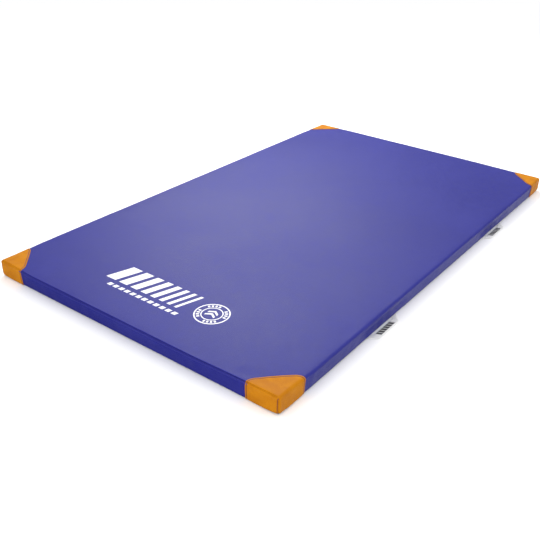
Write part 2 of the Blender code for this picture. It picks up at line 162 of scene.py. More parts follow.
def simulated(start, faces):
    """Where the points of the cover come to rest."""
    mesh = bpy.data.meshes.new("cover_pull")
    mesh.from_pydata(start.tolist(), [], faces)
    shape = bmesh.new()
    shape.from_mesh(mesh)
    bmesh.ops.recalc_face_normals(shape, faces=shape.faces)
    shape.to_mesh(mesh)
    shape.free()
    cover = linked("cover_pull", mesh)
    at_end = np.abs(start[:, 1]) > HALF_Y - NEARLY
    at_side = np.abs(start[:, 0]) > HALF_X - NEARLY
    held = (at_end & ((start[:, 2] > TOP - NEARLY) | at_side)) | (start[:, 2] < NEARLY)
    seams = cover.vertex_groups.new(name="seams")
    seams.add([int(i) for i in np.flatnonzero(held)], 1.0, "REPLACE")
    cloth = cover.modifiers.new("cloth", "CLOTH")
    settings = cloth.settings
    settings.quality, settings.mass, settings.air_damping = 6, 0.35, 4
    settings.tension_stiffness = settings.compression_stiffness = 40
    settings.shear_stiffness, settings.bending_stiffness = 20, 12
    settings.tension_damping = settings.compression_damping = settings.shear_damping = 20
    settings.bending_damping = 2
    settings.shrink_min = -0.0012
    settings.vertex_group_mass = "seams"
    settings.use_pressure, settings.uniform_pressure_force = True, 0.3
    settings.effector_weights.gravity = 0
    cloth.collision_settings.use_collision = False
    scene = bpy.context.scene
    cloth.point_cache.frame_end = PULL_FRAMES
    for step in range(1, PULL_FRAMES + 1):
        scene.frame_set(step)
    solved = cover.evaluated_get(bpy.context.evaluated_depsgraph_get()).data
    final = np.empty(len(start) * 3)
    solved.vertices.foreach_get("co", final)
    bpy.data.objects.remove(cover)
    scene.frame_set(1)
    return final.reshape(-1, 3)


PULL = pull_cover()


def pulled(points):
    """How far the cover's pull moves each point of the plain box."""
    x, y, z = points[:, 0], points[:, 1], points[:, 2]
    on = {"near": y < -HALF_Y + NEARLY, "far": y > HALF_Y - NEARLY}
    on["left"] = (x < -HALF_X + NEARLY) & ~on["near"] & ~on["far"]
    on["right"] = (x > HALF_X - NEARLY) & ~on["near"] & ~on["far"]
    rest = ~(on["near"] | on["far"] | on["left"] | on["right"])
    on["above"], on["under"] = rest & (z > NEARLY), rest & (z <= NEARLY)
    found = np.zeros_like(points)
    for name, chosen in on.items():
        u_axis, v_axis, us, vs, moved = PULL[name]
        u = (points[chosen, u_axis] - us[0]) / (us[1] - us[0])
        v = (points[chosen, v_axis] - vs[0]) / (vs[1] - vs[0])
        i = np.clip(u.astype(int), 0, len(us) - 2)
        j = np.clip(v.astype(int), 0, len(vs) - 2)
        s, t = eased(u - i)[:, None], eased(v - j)[:, None]
        low = moved[i, j] * (1 - t) + moved[i, j + 1] * t
        high = moved[i + 1, j] * (1 - t) + moved[i + 1, j + 1] * t
        found[chosen] = low * (1 - s) + high * s
    return found


def eased(share):
    share = np.clip(share, 0, 1)
    return share * share * (3 - 2 * share)


# ---------------------------------------------------------------- the mat's surface
def bell(d, centre, width):
    return np.exp(-(((d - centre) / width) ** 2))


def undulation(points):
    """Slight waves of the cover over the foam, in metres."""
    waves = np.empty(len(points))
    for i, p in enumerate(points):
        slow = noise.noise(Vector((p[0] * 2.3, p[1] * 2.3, p[2] * 2.3 + 3.1)))
        quick = noise.noise(Vector((p[0] * 8.5 + 7.7, p[1] * 6.0, p[2] * 9.0)))
        waves[i] = WAVES * slow + SMALL_WAVES * quick
    # A faint ridge runs across the mat, where it has been folded over once.
    ridge = bell(points[:, 1], -0.485 + 0.05 * points[:, 0] + 0.02 * points[:, 0] ** 2, 0.011)
    return waves + RIDGE * ridge * (points[:, 2] > TOP - NEARLY)


def puckers(along, d, seed):
    """Small ripples that run out from a seam and fade with the distance d from it."""
    ripple = np.array([noise.noise(Vector((v * 46.0, seed, 0.3))) for v in along])
    return RIPPLES * ripple * np.clip(d / 0.003, 0, 1) * np.exp(-d / 0.014)


def relief(points, leather=False):
    """How far the cover stands out from the rounded body: seams, the rolls beside them, and waves."""
    x, y, z = np.abs(points[:, 0]), np.abs(points[:, 1]), points[:, 2]
    on_end = y > HALF_Y - NEARLY
    on_side = (x > HALF_X - NEARLY) & ~on_end
    under = (z < NEARLY) & ~on_end & ~on_side
    above = ~on_end & ~on_side & ~under
    top_seam = np.where(on_end, TOP - z, np.where(above, HALF_Y - y, 1.0))
    corner_seam = np.where(on_end, HALF_X - x, np.where(on_side, HALF_Y - y, 1.0))
    low_seam = np.where(under, np.minimum(HALF_X - x, HALF_Y - y), np.where(above, 1.0, z))
    near_seam = np.minimum(np.minimum(top_seam, corner_seam), low_seam)
    out = -LOW_GROOVE * bell(low_seam, 0, SEAM)
    # The seam allowance inside lifts a narrow band of the end panel just below the top seam.
    band = bell(top_seam, 0.0056, 0.0020) * 0.0021 - bell(top_seam, 0.0102, 0.0019) * 0.0007
    if leather:
        below_fold = np.clip((TOP - z - 0.0045) / 0.004, 0, 1)
        out -= LEATHER_TOP_GROOVE * bell(top_seam, 0, 0.0012) * np.clip((HALF_X - x) / 0.012, 0.25, 1)
        out -= LEATHER_CORNER_GROOVE * bell(corner_seam, 0, SEAM) * below_fold
        out += np.where(on_end, band * 0.28, 0)
    else:
        out -= TOP_GROOVE * bell(top_seam, 0, SEAM) + CORNER_GROOVE * bell(corner_seam, 0, SEAM)
        out += np.where(on_end, band, bell(top_seam, 0.0055, 0.0035) * 0.0003)
    # The sides belly out a little between their seams.
    belly = np.clip(z * (TOP - z) / (TOP / 2) ** 2, 0, 1)
    out += np.where(on_end, BELLY_END * belly, 0) + np.where(on_side, BELLY_SIDE * belly, 0)
    out += np.where(on_end, puckers(points[:, 0], top_seam, 1.5), 0)
    out += np.where(above, puckers(points[:, 0], top_seam, 4.5), 0)
    calm = np.where(under, 0.2, np.where(on_side, 0.4, 1.0))
    return out + undulation(points) * calm * np.clip(near_seam / 0.02, 0.15, 1)


def corner_lift(points):
    """How much larger the bottom rounding is near the four corners."""
    away = np.hypot(HALF_X - np.abs(points[:, 0]), HALF_Y - np.abs(points[:, 1]))
    return CORNER_LIFT * bell(away, 0, CORNER_REACH)


def overhang(points):
    """How far the top edges stand out past the foot of the sides, between the corners."""
    x, y, z = points[:, 0], points[:, 1], points[:, 2]
    from_side, from_end = HALF_X - np.abs(x), HALF_Y - np.abs(y)
    # It starts at the floor, but above the folded handles where they are, and above the zip on the left.
    beside_handle = eased((HELD_HALF - np.abs(np.abs(y) - HANDLE_MIDDLE)) / HELD_FADE)
    free_rise = np.clip(z / OVERHANG_TOP, 0, 1)
    held_rise = eased((z - HELD_HEIGHT) / (OVERHANG_TOP - HELD_HEIGHT))
    right_rise = free_rise + (held_rise - free_rise) * beside_handle
    left_rise = eased((z - WRAP_LEFT_LOW) / 0.012)
    sideways = np.where(x > 0, OVERHANG_RIGHT * right_rise, OVERHANG_LEFT * left_rise)
    sideways *= np.sign(x) * eased((from_end - OVERHANG_START) / OVERHANG_GROWTH)
    sideways *= 1 - eased(from_side / OVERHANG_FADE)
    lengthways = np.where(y < 0, OVERHANG_NEAR, OVERHANG_FAR) * eased(z / OVERHANG_TOP)
    growth = np.where(x > 0, LONG_GROWTH, OVERHANG_GROWTH)
    lengthways *= np.sign(y) * eased((from_side - OVERHANG_START) / growth)
    lengthways *= 1 - eased(from_end / OVERHANG_FADE)
    return np.stack([sideways, lengthways, np.zeros(len(z))], axis=1)


def surface(points, out=0.0, leather=False):
    """Puts points of the plain box on the padded body, out metres outside its cover. Also gives normals."""
    p = np.asarray(points, float).reshape(-1, 3)
    radius_z = np.where(p[:, 2] > TOP / 2, ROUND_TOP, ROUND_BOTTOM + corner_lift(p))
    radii = np.stack([np.full(len(p), ROUND_X), np.full(len(p), ROUND_Y), radius_z], axis=1)
    low = np.array([-HALF_X, -HALF_Y, 0.0]) + radii
    high = np.array([HALF_X, HALF_Y, TOP]) - radii
    core = np.clip(p, low, high)
    away = (p - core) / radii
    normal = away / np.maximum(np.linalg.norm(away, axis=1), 1e-9)[:, None]
    moved = core + normal * (radii + (out + relief(p, leather))[:, None])
    return moved + pulled(p) + overhang(p), normal


# ---------------------------------------------------------------- mesh helpers
def from_edge(stop, step, fine=(0, 0.5, 1.1, 1.8, 2.6, 3.5, 4.5, 5.6, 6.9, 8.4, 10.2, 12.5, 15.5, 19.5, 26)):
    """Distances from an edge in metres: close together near it, then about step apart, up to stop."""
    near = [f / 1000 for f in fine if f / 1000 < stop - step / 3]
    count = max(1, round((stop - near[-1]) / step))
    return near + [near[-1] + (stop - near[-1]) * i / count for i in range(1, count + 1)]


def across(half, step):
    """Coordinates from -half to half, close together near both ends."""
    inner = from_edge(half, step)
    return [-half + d for d in inner] + [half - d for d in reversed(inner[:-1])]


def new_object(name, verts, faces):
    mesh = bpy.data.meshes.new(name)
    mesh.from_pydata([tuple(v) for v in verts], [], faces)
    mesh.validate()
    mesh.polygons.foreach_set("use_smooth", [True] * len(mesh.polygons))
    return linked(name, mesh)


def face_outwards(obj, normal_of_first):
    """Turns the faces over if the first one points against the given normal."""
    if obj.data.polygons[0].normal.dot(Vector(normal_of_first)) < 0:
        obj.data.flip_normals()


def thicken(obj, thickness, offset=-1.0):
    solid = obj.modifiers.new("thickness", "SOLIDIFY")
    solid.thickness = thickness
    solid.offset = offset
    solid.use_even_offset = False
    return obj


def grid_faces(rows, count):
    """Faces between rows that have count points each."""
    starts = [a for i in range(rows - 1) for a in range(i * count, (i + 1) * count - 1)]
    return [(a, a + 1, a + count + 1, a + count) for a in starts]


def grid_piece(name, rows):
    """A sheet of the cover from rows of points of the plain box, with the same count in each."""
    verts, normals = surface([p for row in rows for p in row])
    faces = grid_faces(len(rows), len(rows[0]))
    obj = new_object(name, verts, faces)
    face_outwards(obj, normals[faces[0][0]])
    return thicken(obj, FABRIC)


def resample(points, step):
    """The same line with a point about every step metres; its own points are kept."""
    made = []
    for (ax, ay), (bx, by) in zip(points, points[1:]):
        count = max(1, round(math.hypot(bx - ax, by - ay) / step))
        made += [(ax + (bx - ax) * i / count, ay + (by - ay) * i / count) for i in range(count)]
    return made + [points[-1]]


def distance_to(points, line):
    """Distance of each 2D point from a line of 2D points."""
    p, line = np.asarray(points, float), np.asarray(line, float)
    best = np.full(len(p), 1e9)
    for a, b in zip(line, line[1:]):
        ab = b - a
        t = np.clip(((p - a) @ ab) / max(ab @ ab, 1e-18), 0, 1)
        best = np.minimum(best, np.linalg.norm(p - a - t[:, None] * ab, axis=1))
    return best


def inside(points, outline):
    """True for each 2D point inside a closed outline."""
    p, ring = np.asarray(points, float), np.asarray(outline, float)
    found = np.zeros(len(p), bool)
    for (ax, ay), (bx, by) in zip(ring, np.roll(ring, -1, axis=0)):
        crosses = (ay > p[:, 1]) != (by > p[:, 1])
        if ay != by:
            found ^= crosses & (p[:, 0] < (bx - ax) * (p[:, 1] - ay) / (by - ay) + ax)
    return found


def inset_line(line, distance, towards):
    """A copy of an open line, moved sideways by distance, on the side that the point towards is on."""
    line = np.asarray(line, float)
    tangent = np.gradient(line, axis=0)
    tangent /= np.linalg.norm(tangent, axis=1)[:, None]
    normal = np.stack([-tangent[:, 1], tangent[:, 0]], axis=1)
    middle = len(line) // 2
    if (np.asarray(towards) - line[middle]) @ normal[middle] < 0:
        normal = -normal
    return line + normal * distance


def filled(outline, lines=(), xs=(), ys=(), clear=0.0012):
    """Triangles inside an outline, with lines as edges and with the crossings of xs and ys as points."""
    verts = [Vector(p) for p in outline]
    edges = [(i, (i + 1) % len(outline)) for i in range(len(outline))]
    fixed = [np.asarray(list(outline) + [outline[0]])]
    for line in lines:
        start = len(verts)
        verts += [Vector(p) for p in line]
        edges += [(start + i, start + i + 1) for i in range(len(line) - 1)]
        fixed.append(np.asarray(line))
    cross = np.array([(x, y) for x in xs for y in ys]).reshape(-1, 2)
    if len(cross):
        keep = inside(cross, outline)
        for line in fixed:
            keep &= distance_to(cross, line) > clear
        verts += [Vector(p) for p in cross[keep]]
    points, _, faces, _, _, _ = delaunay_2d_cdt(verts, edges, [], 1, 1e-7)
    return np.array([tuple(p) for p in points]), [tuple(f) for f in faces]


# ---------------------------------------------------------------- shader helpers
class Nodes:
    """Short calls for the nodes of one shader tree."""

    def __init__(self, tree, coordinates):
        self.tree = tree
        self.where = self.node("TexCoord").outputs[coordinates]

    def put(self, socket, value):
        if isinstance(value, bpy.types.NodeSocket):
            self.tree.links.new(value, socket)
        elif hasattr(value, "__len__") and len(value) == 3 and socket.type == "RGBA":
            socket.default_value = (*value, 1.0)
        else:
            socket.default_value = value

    def node(self, kind, inputs=None, **settings):
        made = self.tree.nodes.new("ShaderNode" + kind)
        for name, value in settings.items():
            setattr(made, name, value)
        for name, value in (inputs or {}).items():
            self.put(made.inputs[name], value)
        return made

    def stretched(self, scale, turn=0.0):
        """The coordinates scaled along each axis, after a turn about Z in degrees."""
        made = self.node("Mapping", {"Vector": self.where, "Scale": scale})
        made.inputs["Rotation"].default_value = (0, 0, math.radians(turn))
        return made.outputs["Vector"]

    def noise(self, scale, detail=2.0, rough=0.5, warp=0.0, where=None):
        inputs = {"Vector": where or self.where, "Scale": scale, "Detail": detail}
        inputs |= {"Roughness": rough, "Distortion": warp}
        return self.node("TexNoise", inputs).outputs["Fac"]

    def cells(self, scale, feature="F1", output="Distance", where=None, spread=1.0):
        inputs = {"Vector": where or self.where, "Scale": scale, "Randomness": spread}
        return self.node("TexVoronoi", inputs, feature=feature).outputs[output]

    def wave(self, scale, axis="X", where=None, warp=0.0):
        inputs = {"Vector": where or self.where, "Scale": scale, "Distortion": warp}
        return self.node("TexWave", inputs, bands_direction=axis).outputs["Fac"]

    def math(self, operation, a, b=0.0, clamp=False):
        return self.node("Math", {0: a, 1: b}, operation=operation, use_clamp=clamp).outputs[0]

    def times(self, a, b):
        return self.math("MULTIPLY", a, b)

    def weave(self, scale):
        return self.times(self.wave(scale, "X"), self.wave(scale, "Y"))

    def add(self, first, *others, clamp=False):
        for other in others:
            first = self.math("ADD", first, other, clamp)
        return first

    def fit(self, value, low, high, to_low=0.0, to_high=1.0, smooth=False):
        kind = "SMOOTHSTEP" if smooth else "LINEAR"
        inputs = {"Value": value, "From Min": low, "From Max": high, "To Min": to_low, "To Max": to_high}
        return self.node("MapRange", inputs, interpolation_type=kind).outputs["Result"]

    def mix(self, share, a, b):
        made = self.node("Mix", {"Factor": share}, data_type="RGBA")
        for socket, colour in zip([s for s in made.inputs if s.type == "RGBA"], (a, b)):
            self.put(socket, colour)
        return next(s for s in made.outputs if s.type == "RGBA")

    def axis(self, which, where=None):
        return self.node("SeparateXYZ", {"Vector": where or self.where}).outputs[which]

    def bump(self, height, strength, distance, under=None):
        inputs = {"Height": height, "Strength": strength, "Distance": distance}
        if under is not None:
            inputs["Normal"] = under
        return self.node("Bump", inputs).outputs["Normal"]


class Shade(Nodes):
    """A material with a Principled shader."""

    def __init__(self, name, roughness=0.5, coordinates="Object"):
        self.material = bpy.data.materials.new(name)
        self.material.use_nodes = True
        super().__init__(self.material.node_tree, coordinates)
        self.shader = self.tree.nodes["Principled BSDF"]
        self.shader.inputs["Roughness"].default_value = roughness

    def set(self, **inputs):
        """Fills the shader's inputs, and gives the finished material."""
        names = {"color": "Base Color", "specular": "Specular IOR Level", "sheen": "Sheen Weight"}
        for name, value in inputs.items():
            self.put(self.shader.inputs[names.get(name, name.replace("_", " ").title())], value)
        return self.material


def linear(*colour):
    """A colour given as screen values from 0 to 255, as the shader's linear values."""
    return tuple(c / 255 / 12.92 if c <= 10.3 else ((c / 255 + 0.055) / 1.055) ** 2.4 for c in colour)


# ---------------------------------------------------------------- materials
def cover_vinyl(light, deep):
    """Coated fabric: fine leather grain with painted shade in its creases, faint patches of colour and gloss,
    dust and a few soft scuffs.
    """
    s = Shade("cover_vinyl")
    patches = s.noise(2.2, 3.0, 0.55, 0.4)
    mottle = s.noise(38.0, 4.0, 0.6)
    tone = s.add(s.times(patches, 0.55), s.times(mottle, 0.45))
    base = s.mix(s.fit(tone, 0.36, 0.64, smooth=True), deep, light)
    creases = s.fit(s.cells(900.0, "DISTANCE_TO_EDGE"), 0.0, 0.22)
    # Painted shade: the colour darkens in the grain's creases, where the bump is low.
    base = s.mix(s.fit(creases, 0.0, 1.0, 0.16, 0.0), base, tuple(c * 0.55 for c in deep))
    streaks = s.noise(1.0, 5.0, 0.7, 0.6, s.stretched((28.0, 4.0, 20.0), 34))
    scuff = s.fit(streaks, 0.64, 0.80, 0.0, 0.16, smooth=True)
    base = s.mix(scuff, base, tuple(min(1.0, c * 1.3 + 0.02) for c in light))
    rough = s.add(s.fit(patches, 0.3, 0.7, 0.37, 0.46), s.times(scuff, 0.5), s.fit(creases, 0, 1, 0.10, 0.0))
    rough = s.add(rough, s.fit(mottle, 0.3, 0.7, -0.03, 0.04))
    normal = s.bump(s.noise(16.0, 5.0, 0.62), 0.30, 0.0012)
    normal = s.bump(s.weave(420.0), 0.05, 0.0002, normal)
    normal = s.bump(creases, 0.46, 0.00025, normal)
    normal = s.bump(s.noise(2300.0, 2.0, 0.6), 0.10, 0.0001, normal)
    return s.set(color=base, roughness=rough, normal=normal, specular=0.20)


def guard_leather():
    s = Shade("guard_leather")
    patches = s.noise(17.0, 4.0, 0.6, 0.5)
    base = s.mix(s.fit(patches, 0.34, 0.68, smooth=True), linear(174, 107, 3), linear(189, 122, 8))
    pebble = s.cells(620.0, "DISTANCE_TO_EDGE", where=s.stretched((1.0, 1.15, 1.0)))
    creases = s.fit(pebble, 0.0, 0.20)
    # Painted shade: the colour darkens in the pebble grain's creases, where the bump is low.
    base = s.mix(s.fit(creases, 0, 1, 0.28, 0.0), base, linear(140, 72, 2))
    spots = s.fit(s.noise(150.0, 3.0, 0.6), 0.62, 0.78, 0.0, 0.25)
    base = s.mix(spots, base, linear(160, 88, 3))
    rubbed = s.fit(s.noise(70.0, 5.0, 0.72, 0.8), 0.60, 0.82, 0.0, 0.22)
    base = s.mix(rubbed, base, linear(208, 134, 26))
    rough = s.add(s.fit(patches, 0.3, 0.7, 0.42, 0.54), s.fit(creases, 0, 1, 0.12, 0.0))
    normal = s.bump(s.noise(55.0, 4.0, 0.55), 0.28, 0.0007)
    normal = s.bump(creases, 0.42, 0.0003, normal)
    normal = s.bump(s.noise(2600.0, 2.0, 0.6), 0.12, 0.0001, normal)
    return s.set(color=base, roughness=rough, normal=normal, specular=0.09)


def cut_leather():
    """The cut edge and the back of the guards' leather."""
    s = Shade("guard_leather_edge", 0.9)
    fibres = s.noise(900.0, 4.0, 0.7)
    base = s.mix(fibres, linear(176, 104, 44), linear(122, 66, 26))
    return s.set(color=base, normal=s.bump(fibres, 0.6, 0.0003), roughness=s.fit(fibres, 0.3, 0.7, 0.8, 0.95))


def antislip_vinyl():
    """Dark underside with rows of small raised dots that grip the floor."""
    s = Shade("antislip_vinyl")
    dots = s.fit(s.cells(210.0, spread=0.0), 0.24, 0.34, 1.0, 0.0, smooth=True)
    dust = s.fit(s.noise(7.0, 5.0, 0.65), 0.42, 0.72)
    base = s.mix(dots, linear(50, 53, 60), linear(30, 31, 35))
    base = s.mix(s.times(dust, 0.22), base, linear(112, 108, 102))
    normal = s.bump(dots, 0.7, 0.0006, s.bump(s.weave(300.0), 0.3, 0.0003))
    return s.set(color=base, roughness=s.fit(dots, 0, 1, 0.82, 0.62), normal=normal, specular=0.35)


def groove_leather_burnish_and_shade():
    """The line pressed into the leather by its stitches: burnished darker, and darkened further with painted
    shade of the groove.
    """
    s = Shade("guard_leather_groove", 0.55)
    rubbed = s.noise(300.0, 4.0, 0.65)
    base = s.mix(rubbed, linear(104, 38, 10), linear(134, 58, 10))
    return s.set(color=base, normal=s.bump(rubbed, 0.3, 0.0002), roughness=s.fit(rubbed, 0.3, 0.7, 0.5, 0.62))


def thread(name, colour):
    s = Shade(name, 0.6)
    twist = s.wave(700.0, "DIAGONAL", warp=1.0)
    # Painted shade: the colour darkens in the grooves between the twists, where the bump is low.
    base = s.mix(twist, tuple(c * 0.6 for c in colour), colour)
    return s.set(color=base, normal=s.bump(twist, 0.6, 0.0002), roughness=s.fit(twist, 0, 1, 0.75, 0.5))


def webbing():
    """White woven webbing with printed dark slanted bars. UV is metres along and across the strap."""
    s = Shade("handle_webbing", coordinates="UV")
    along, across_strap = s.axis("X"), s.axis("Y")
    ribs = s.wave(1.0, "X", s.stretched((150.0, 0.0, 0.0)))
    picks = s.wave(1.0, "Y", s.stretched((0.0, 190.0, 0.0)))
    weave = s.add(s.times(ribs, 0.6), s.times(picks, 0.4))
    soil = s.fit(s.noise(26.0, 5.0, 0.65), 0.46, 0.75, 0.0, 0.25)
    # Painted shade: the weave's hollows are darker in the colour.
    base = s.mix(s.fit(weave, 0.15, 0.8), linear(206, 206, 205), linear(240, 240, 240))
    base = s.mix(soil, base, linear(196, 193, 188))
    slanted = s.add(along, s.times(across_strap, -0.45))
    bars = s.fit(s.math("PINGPONG", slanted, 0.0076), 0.0014, 0.0018)
    ends = s.fit(s.math("ABSOLUTE", s.add(slanted, 0.0120)), 0.0452, 0.0456, 1.0, 0.0)
    middle = s.math("ABSOLUTE", s.math("SUBTRACT", across_strap, 0.0148))
    ink = s.times(s.times(bars, ends), s.fit(middle, 0.0084, 0.0087, 1.0, 0.0))
    ink = s.times(ink, s.fit(s.noise(900.0, 3.0, 0.7), 0.22, 0.36))
    base = s.mix(ink, base, linear(24, 21, 30))
    rough = s.fit(weave, 0, 1, 0.9, 0.7)
    normal = s.bump(weave, 0.75, 0.0004, s.bump(s.noise(40.0, 3.0), 0.2, 0.0006))
    return s.set(color=base, roughness=rough, normal=normal, sheen=0.15, sheen_roughness=0.5, specular=0.3)


def print_ink():
    """White screen print: thin, slightly uneven ink that lets a little of the blue through."""
    s = Shade("print_ink")
    thin = s.fit(s.noise(1200.0, 3.0, 0.7), 0.56, 0.74, 0.0, 0.30)
    cloud = s.fit(s.noise(24.0, 3.0, 0.6), 0.3, 0.7, 0.0, 0.08)
    base = s.mix(s.add(thin, cloud, clamp=True), linear(244, 243, 246), linear(196, 196, 226))
    normal = s.bump(s.noise(1700.0, 2.0), 0.15, 0.0001)
    normal = s.bump(s.cells(900.0, "DISTANCE_TO_EDGE"), 0.2, 0.0002, normal)
    return s.set(color=base, roughness=s.fit(thin, 0, 0.3, 0.42, 0.6), normal=normal)


def zip_fabric():
    s = Shade("zip_tape")
    lengthways = s.wave(1.0, "Y", s.stretched((0, 520.0, 0)))
    weave = s.times(lengthways, s.wave(1.0, "Z", s.stretched((0, 0, 640.0))))
    # Painted shade: the weave's hollows are much darker in the colour, and only its raised crossings keep the
    # lighter blue.
    base = s.mix(weave, linear(18, 18, 46), linear(44, 45, 104))
    base = s.mix(s.fit(s.noise(60.0, 4.0), 0.5, 0.8, 0.0, 0.3), base, linear(80, 80, 110))
    rough = s.fit(weave, 0, 1, 0.9, 0.75)
    return s.set(color=base, roughness=rough, normal=s.bump(weave, 0.6, 0.0003), sheen=0.1)


def zip_coil():
    s = Shade("zip_coil")
    rubbed = s.fit(s.noise(320.0, 3.0, 0.6), 0.5, 0.75)
    base = s.mix(rubbed, linear(24, 24, 58), linear(58, 58, 96))
    rough = s.fit(rubbed, 0, 1, 0.42, 0.6)
    return s.set(color=base, roughness=rough, normal=s.bump(s.noise(1500.0), 0.2, 0.0001))


def zip_metal():
    s = Shade("zip_metal")
    brushed = s.noise(1.0, 4.0, 0.6, 0.0, s.stretched((900.0, 120.0, 900.0)))
    worn = s.fit(s.noise(260.0, 5.0, 0.7), 0.45, 0.7)
    base = s.mix(worn, linear(150, 150, 154), linear(206, 206, 204))
    rough = s.add(s.fit(brushed, 0.3, 0.7, 0.22, 0.38), s.fit(worn, 0, 1, 0.08, 0.0))
    return s.set(color=base, metallic=1.0, roughness=rough, normal=s.bump(brushed, 0.25, 0.0001))


def bonded_foam():
    """Chips of foam of several colours, pressed and glued."""
    s = Shade("firm_foam", 0.95)
    chips = s.cells(95.0, "F1", "Color", s.stretched((1.0, 1.0, 1.6)))
    pick = s.axis("X", chips)
    base = s.mix(s.fit(pick, 0.2, 0.3), linear(78, 92, 112), linear(150, 156, 160))
    base = s.mix(s.fit(pick, 0.5, 0.6), base, linear(196, 188, 150))
    base = s.mix(s.fit(pick, 0.82, 0.9), base, linear(150, 96, 88))
    gaps = s.fit(s.cells(95.0, "DISTANCE_TO_EDGE", where=s.stretched((1.0, 1.0, 1.6))), 0.0, 0.06)
    # Painted shade: the gaps between the chips are dark grey in the colour.
    base = s.mix(gaps, linear(52, 54, 58), base)
    pores = s.cells(900.0)
    normal = s.bump(pores, 0.6, 0.0006, s.bump(gaps, 0.7, 0.001))
    return s.set(color=base, roughness=s.fit(pores, 0, 0.6, 0.98, 0.9), normal=normal)


def soft_foam():
    s = Shade("soft_foam", 0.95)
    pores = s.cells(1100.0)
    aged = s.noise(6.0, 4.0, 0.6)
    base = s.mix(s.fit(aged, 0.3, 0.7), linear(232, 222, 178), linear(220, 204, 146))
    # Painted shade: the pores are darker in the colour.
    base = s.mix(s.fit(pores, 0.0, 0.35, 0.5, 0.0), base, linear(150, 138, 96))
    return s.set(color=base, roughness=s.fit(pores, 0, 0.6, 0.98, 0.9), normal=s.bump(pores, 0.7, 0.0007))


MATERIALS = {
    "cover": cover_vinyl(linear(38, 40, 127), linear(29, 31, 119)),
    "leather": guard_leather(),
    "leather_edge": cut_leather(),
    "groove_burnish_and_shade": groove_leather_burnish_and_shade(),
    "antislip": antislip_vinyl(),
    "guard_thread": thread("guard_thread", linear(104, 40, 16)),
    "white_thread": thread("white_thread", linear(222, 222, 220)),
    "webbing": webbing(),
    "ink": print_ink(),
    "tape": zip_fabric(),
    "coil": zip_coil(),
    "metal": zip_metal(),
    "firm_foam": bonded_foam(),
    "soft_foam": soft_foam(),
}


def dress(obj, *materials):
    for name in materials:
        obj.data.materials.append(MATERIALS[name])
    return obj


def settle(obj, body="mat", replaces=()):
    """Hands a finished piece to the frame."""
    if replaces:
        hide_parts(*replaces)
    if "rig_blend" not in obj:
        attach(obj, body)
    return obj


# ---------------------------------------------------------------- cover
def make_cover():
    """The cover's sheets: top with both long sides, ends, strip below the zip, and bottom."""
    up_right = [(HALF_X, z) for z in heights(0.0, TOP)]
    over = [(-x, TOP) for x in across(HALF_X, COVER_CELL)[1:-1]]
    down_left = [(-HALF_X, z) for z in reversed(heights(WRAP_LEFT_LOW, TOP))]
    section = up_right + over + down_left
    xs, ys = across(HALF_X, COVER_CELL), across(HALF_Y, COVER_CELL)
    width, length = 2 * HALF_X, 2 * HALF_Y
    rows = [[(x, y, z) for x, z in section] for y in ys]
    flat = (width + TOP + (TOP - WRAP_LEFT_LOW), length)
    cover_sheet("cover_wrap_sheet", rows, flat, "cover_wrap", "foam_top")
    for end, sign in (("near", -1), ("far", 1)):
        rows = [[(x, sign * HALF_Y, z) for x in xs] for z in heights(0.0, TOP)]
        cover_sheet(f"cover_end_panel_{end}", rows, (width, TOP), f"cover_end_{end}")
    rows = [[(-HALF_X, y, z) for y in ys] for z in heights(0.0, STRIP_TOP)]
    cover_sheet("cover_zip_strip", rows, (STRIP_TOP, length), "cover_strip_below_zip")
    rows = [[(x, y, 0.0) for x in across(HALF_X, BOTTOM_CELL)] for y in across(HALF_Y, BOTTOM_CELL)]
    finish = {"finish": "antislip", "slot": "antislip_vinyl"}
    cover_sheet("cover_antislip_bottom", rows, (width, length), "cover_bottom_sheet", **finish)


def cover_sheet(name, rows, flat, node, on="foam_base", finish="cover", slot="cover_vinyl"):
    sheet = dress(grid_piece(name, rows), finish)
    settle(sheet, replaces=[node])


def heights(low, high):
    """Heights between two edges, close together near both."""
    middle = (low + high) / 2
    return [middle + z for z in across(high - middle, 0.006)]


# ---------------------------------------------------------------- foam
def bevelled_box(low, high, bevel, segments=3, profile=0.5):
    shape = bmesh.new()
    place = Matrix.Translation((low + high) / 2) @ Matrix.Diagonal((*(high - low), 1))
    bmesh.ops.create_cube(shape, size=1, matrix=place)
    rounding = {"offset": bevel, "segments": segments, "profile": profile, "affect": "EDGES"}
    bmesh.ops.bevel(shape, geom=shape.edges[:], **rounding)
    return shape


def make_foam():
    """The three foam layers, with square-cut edges that the cover has pressed round."""
    for layer, finish in (("base", "firm_foam"), ("core", "soft_foam"), ("top", "firm_foam")):
        node = f"foam_{layer}_layer"
        low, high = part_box(node)
        shape = bevelled_box(low, high, 0.003, profile=0.0)
        for axis, count in (((1, 0, 0), 30), ((0, 1, 0), 50)):
            size = (high - low).dot(Vector(axis))
            for i in range(1, count):
                at = low + Vector(axis) * (size * i / count)
                geometry = shape.verts[:] + shape.edges[:] + shape.faces[:]
                bmesh.ops.bisect_plane(shape, geom=geometry, plane_co=at, plane_no=axis, dist=1e-7)
        for vertex in shape.verts:
            wave = noise.noise(vertex.co * 5.0) * 0.0004
            vertex.co.x -= math.copysign(abs(wave), vertex.co.x)
            vertex.co.y -= math.copysign(abs(wave), vertex.co.y)
        obj = dress(from_shape(f"foam_{layer}", shape), finish)
        settle(obj, replaces=[node])


# ---------------------------------------------------------------- stitches
STITCH_SIDES = 6
STITCH_STATIONS = (0.0, 0.14, 0.5, 0.86, 1.0)


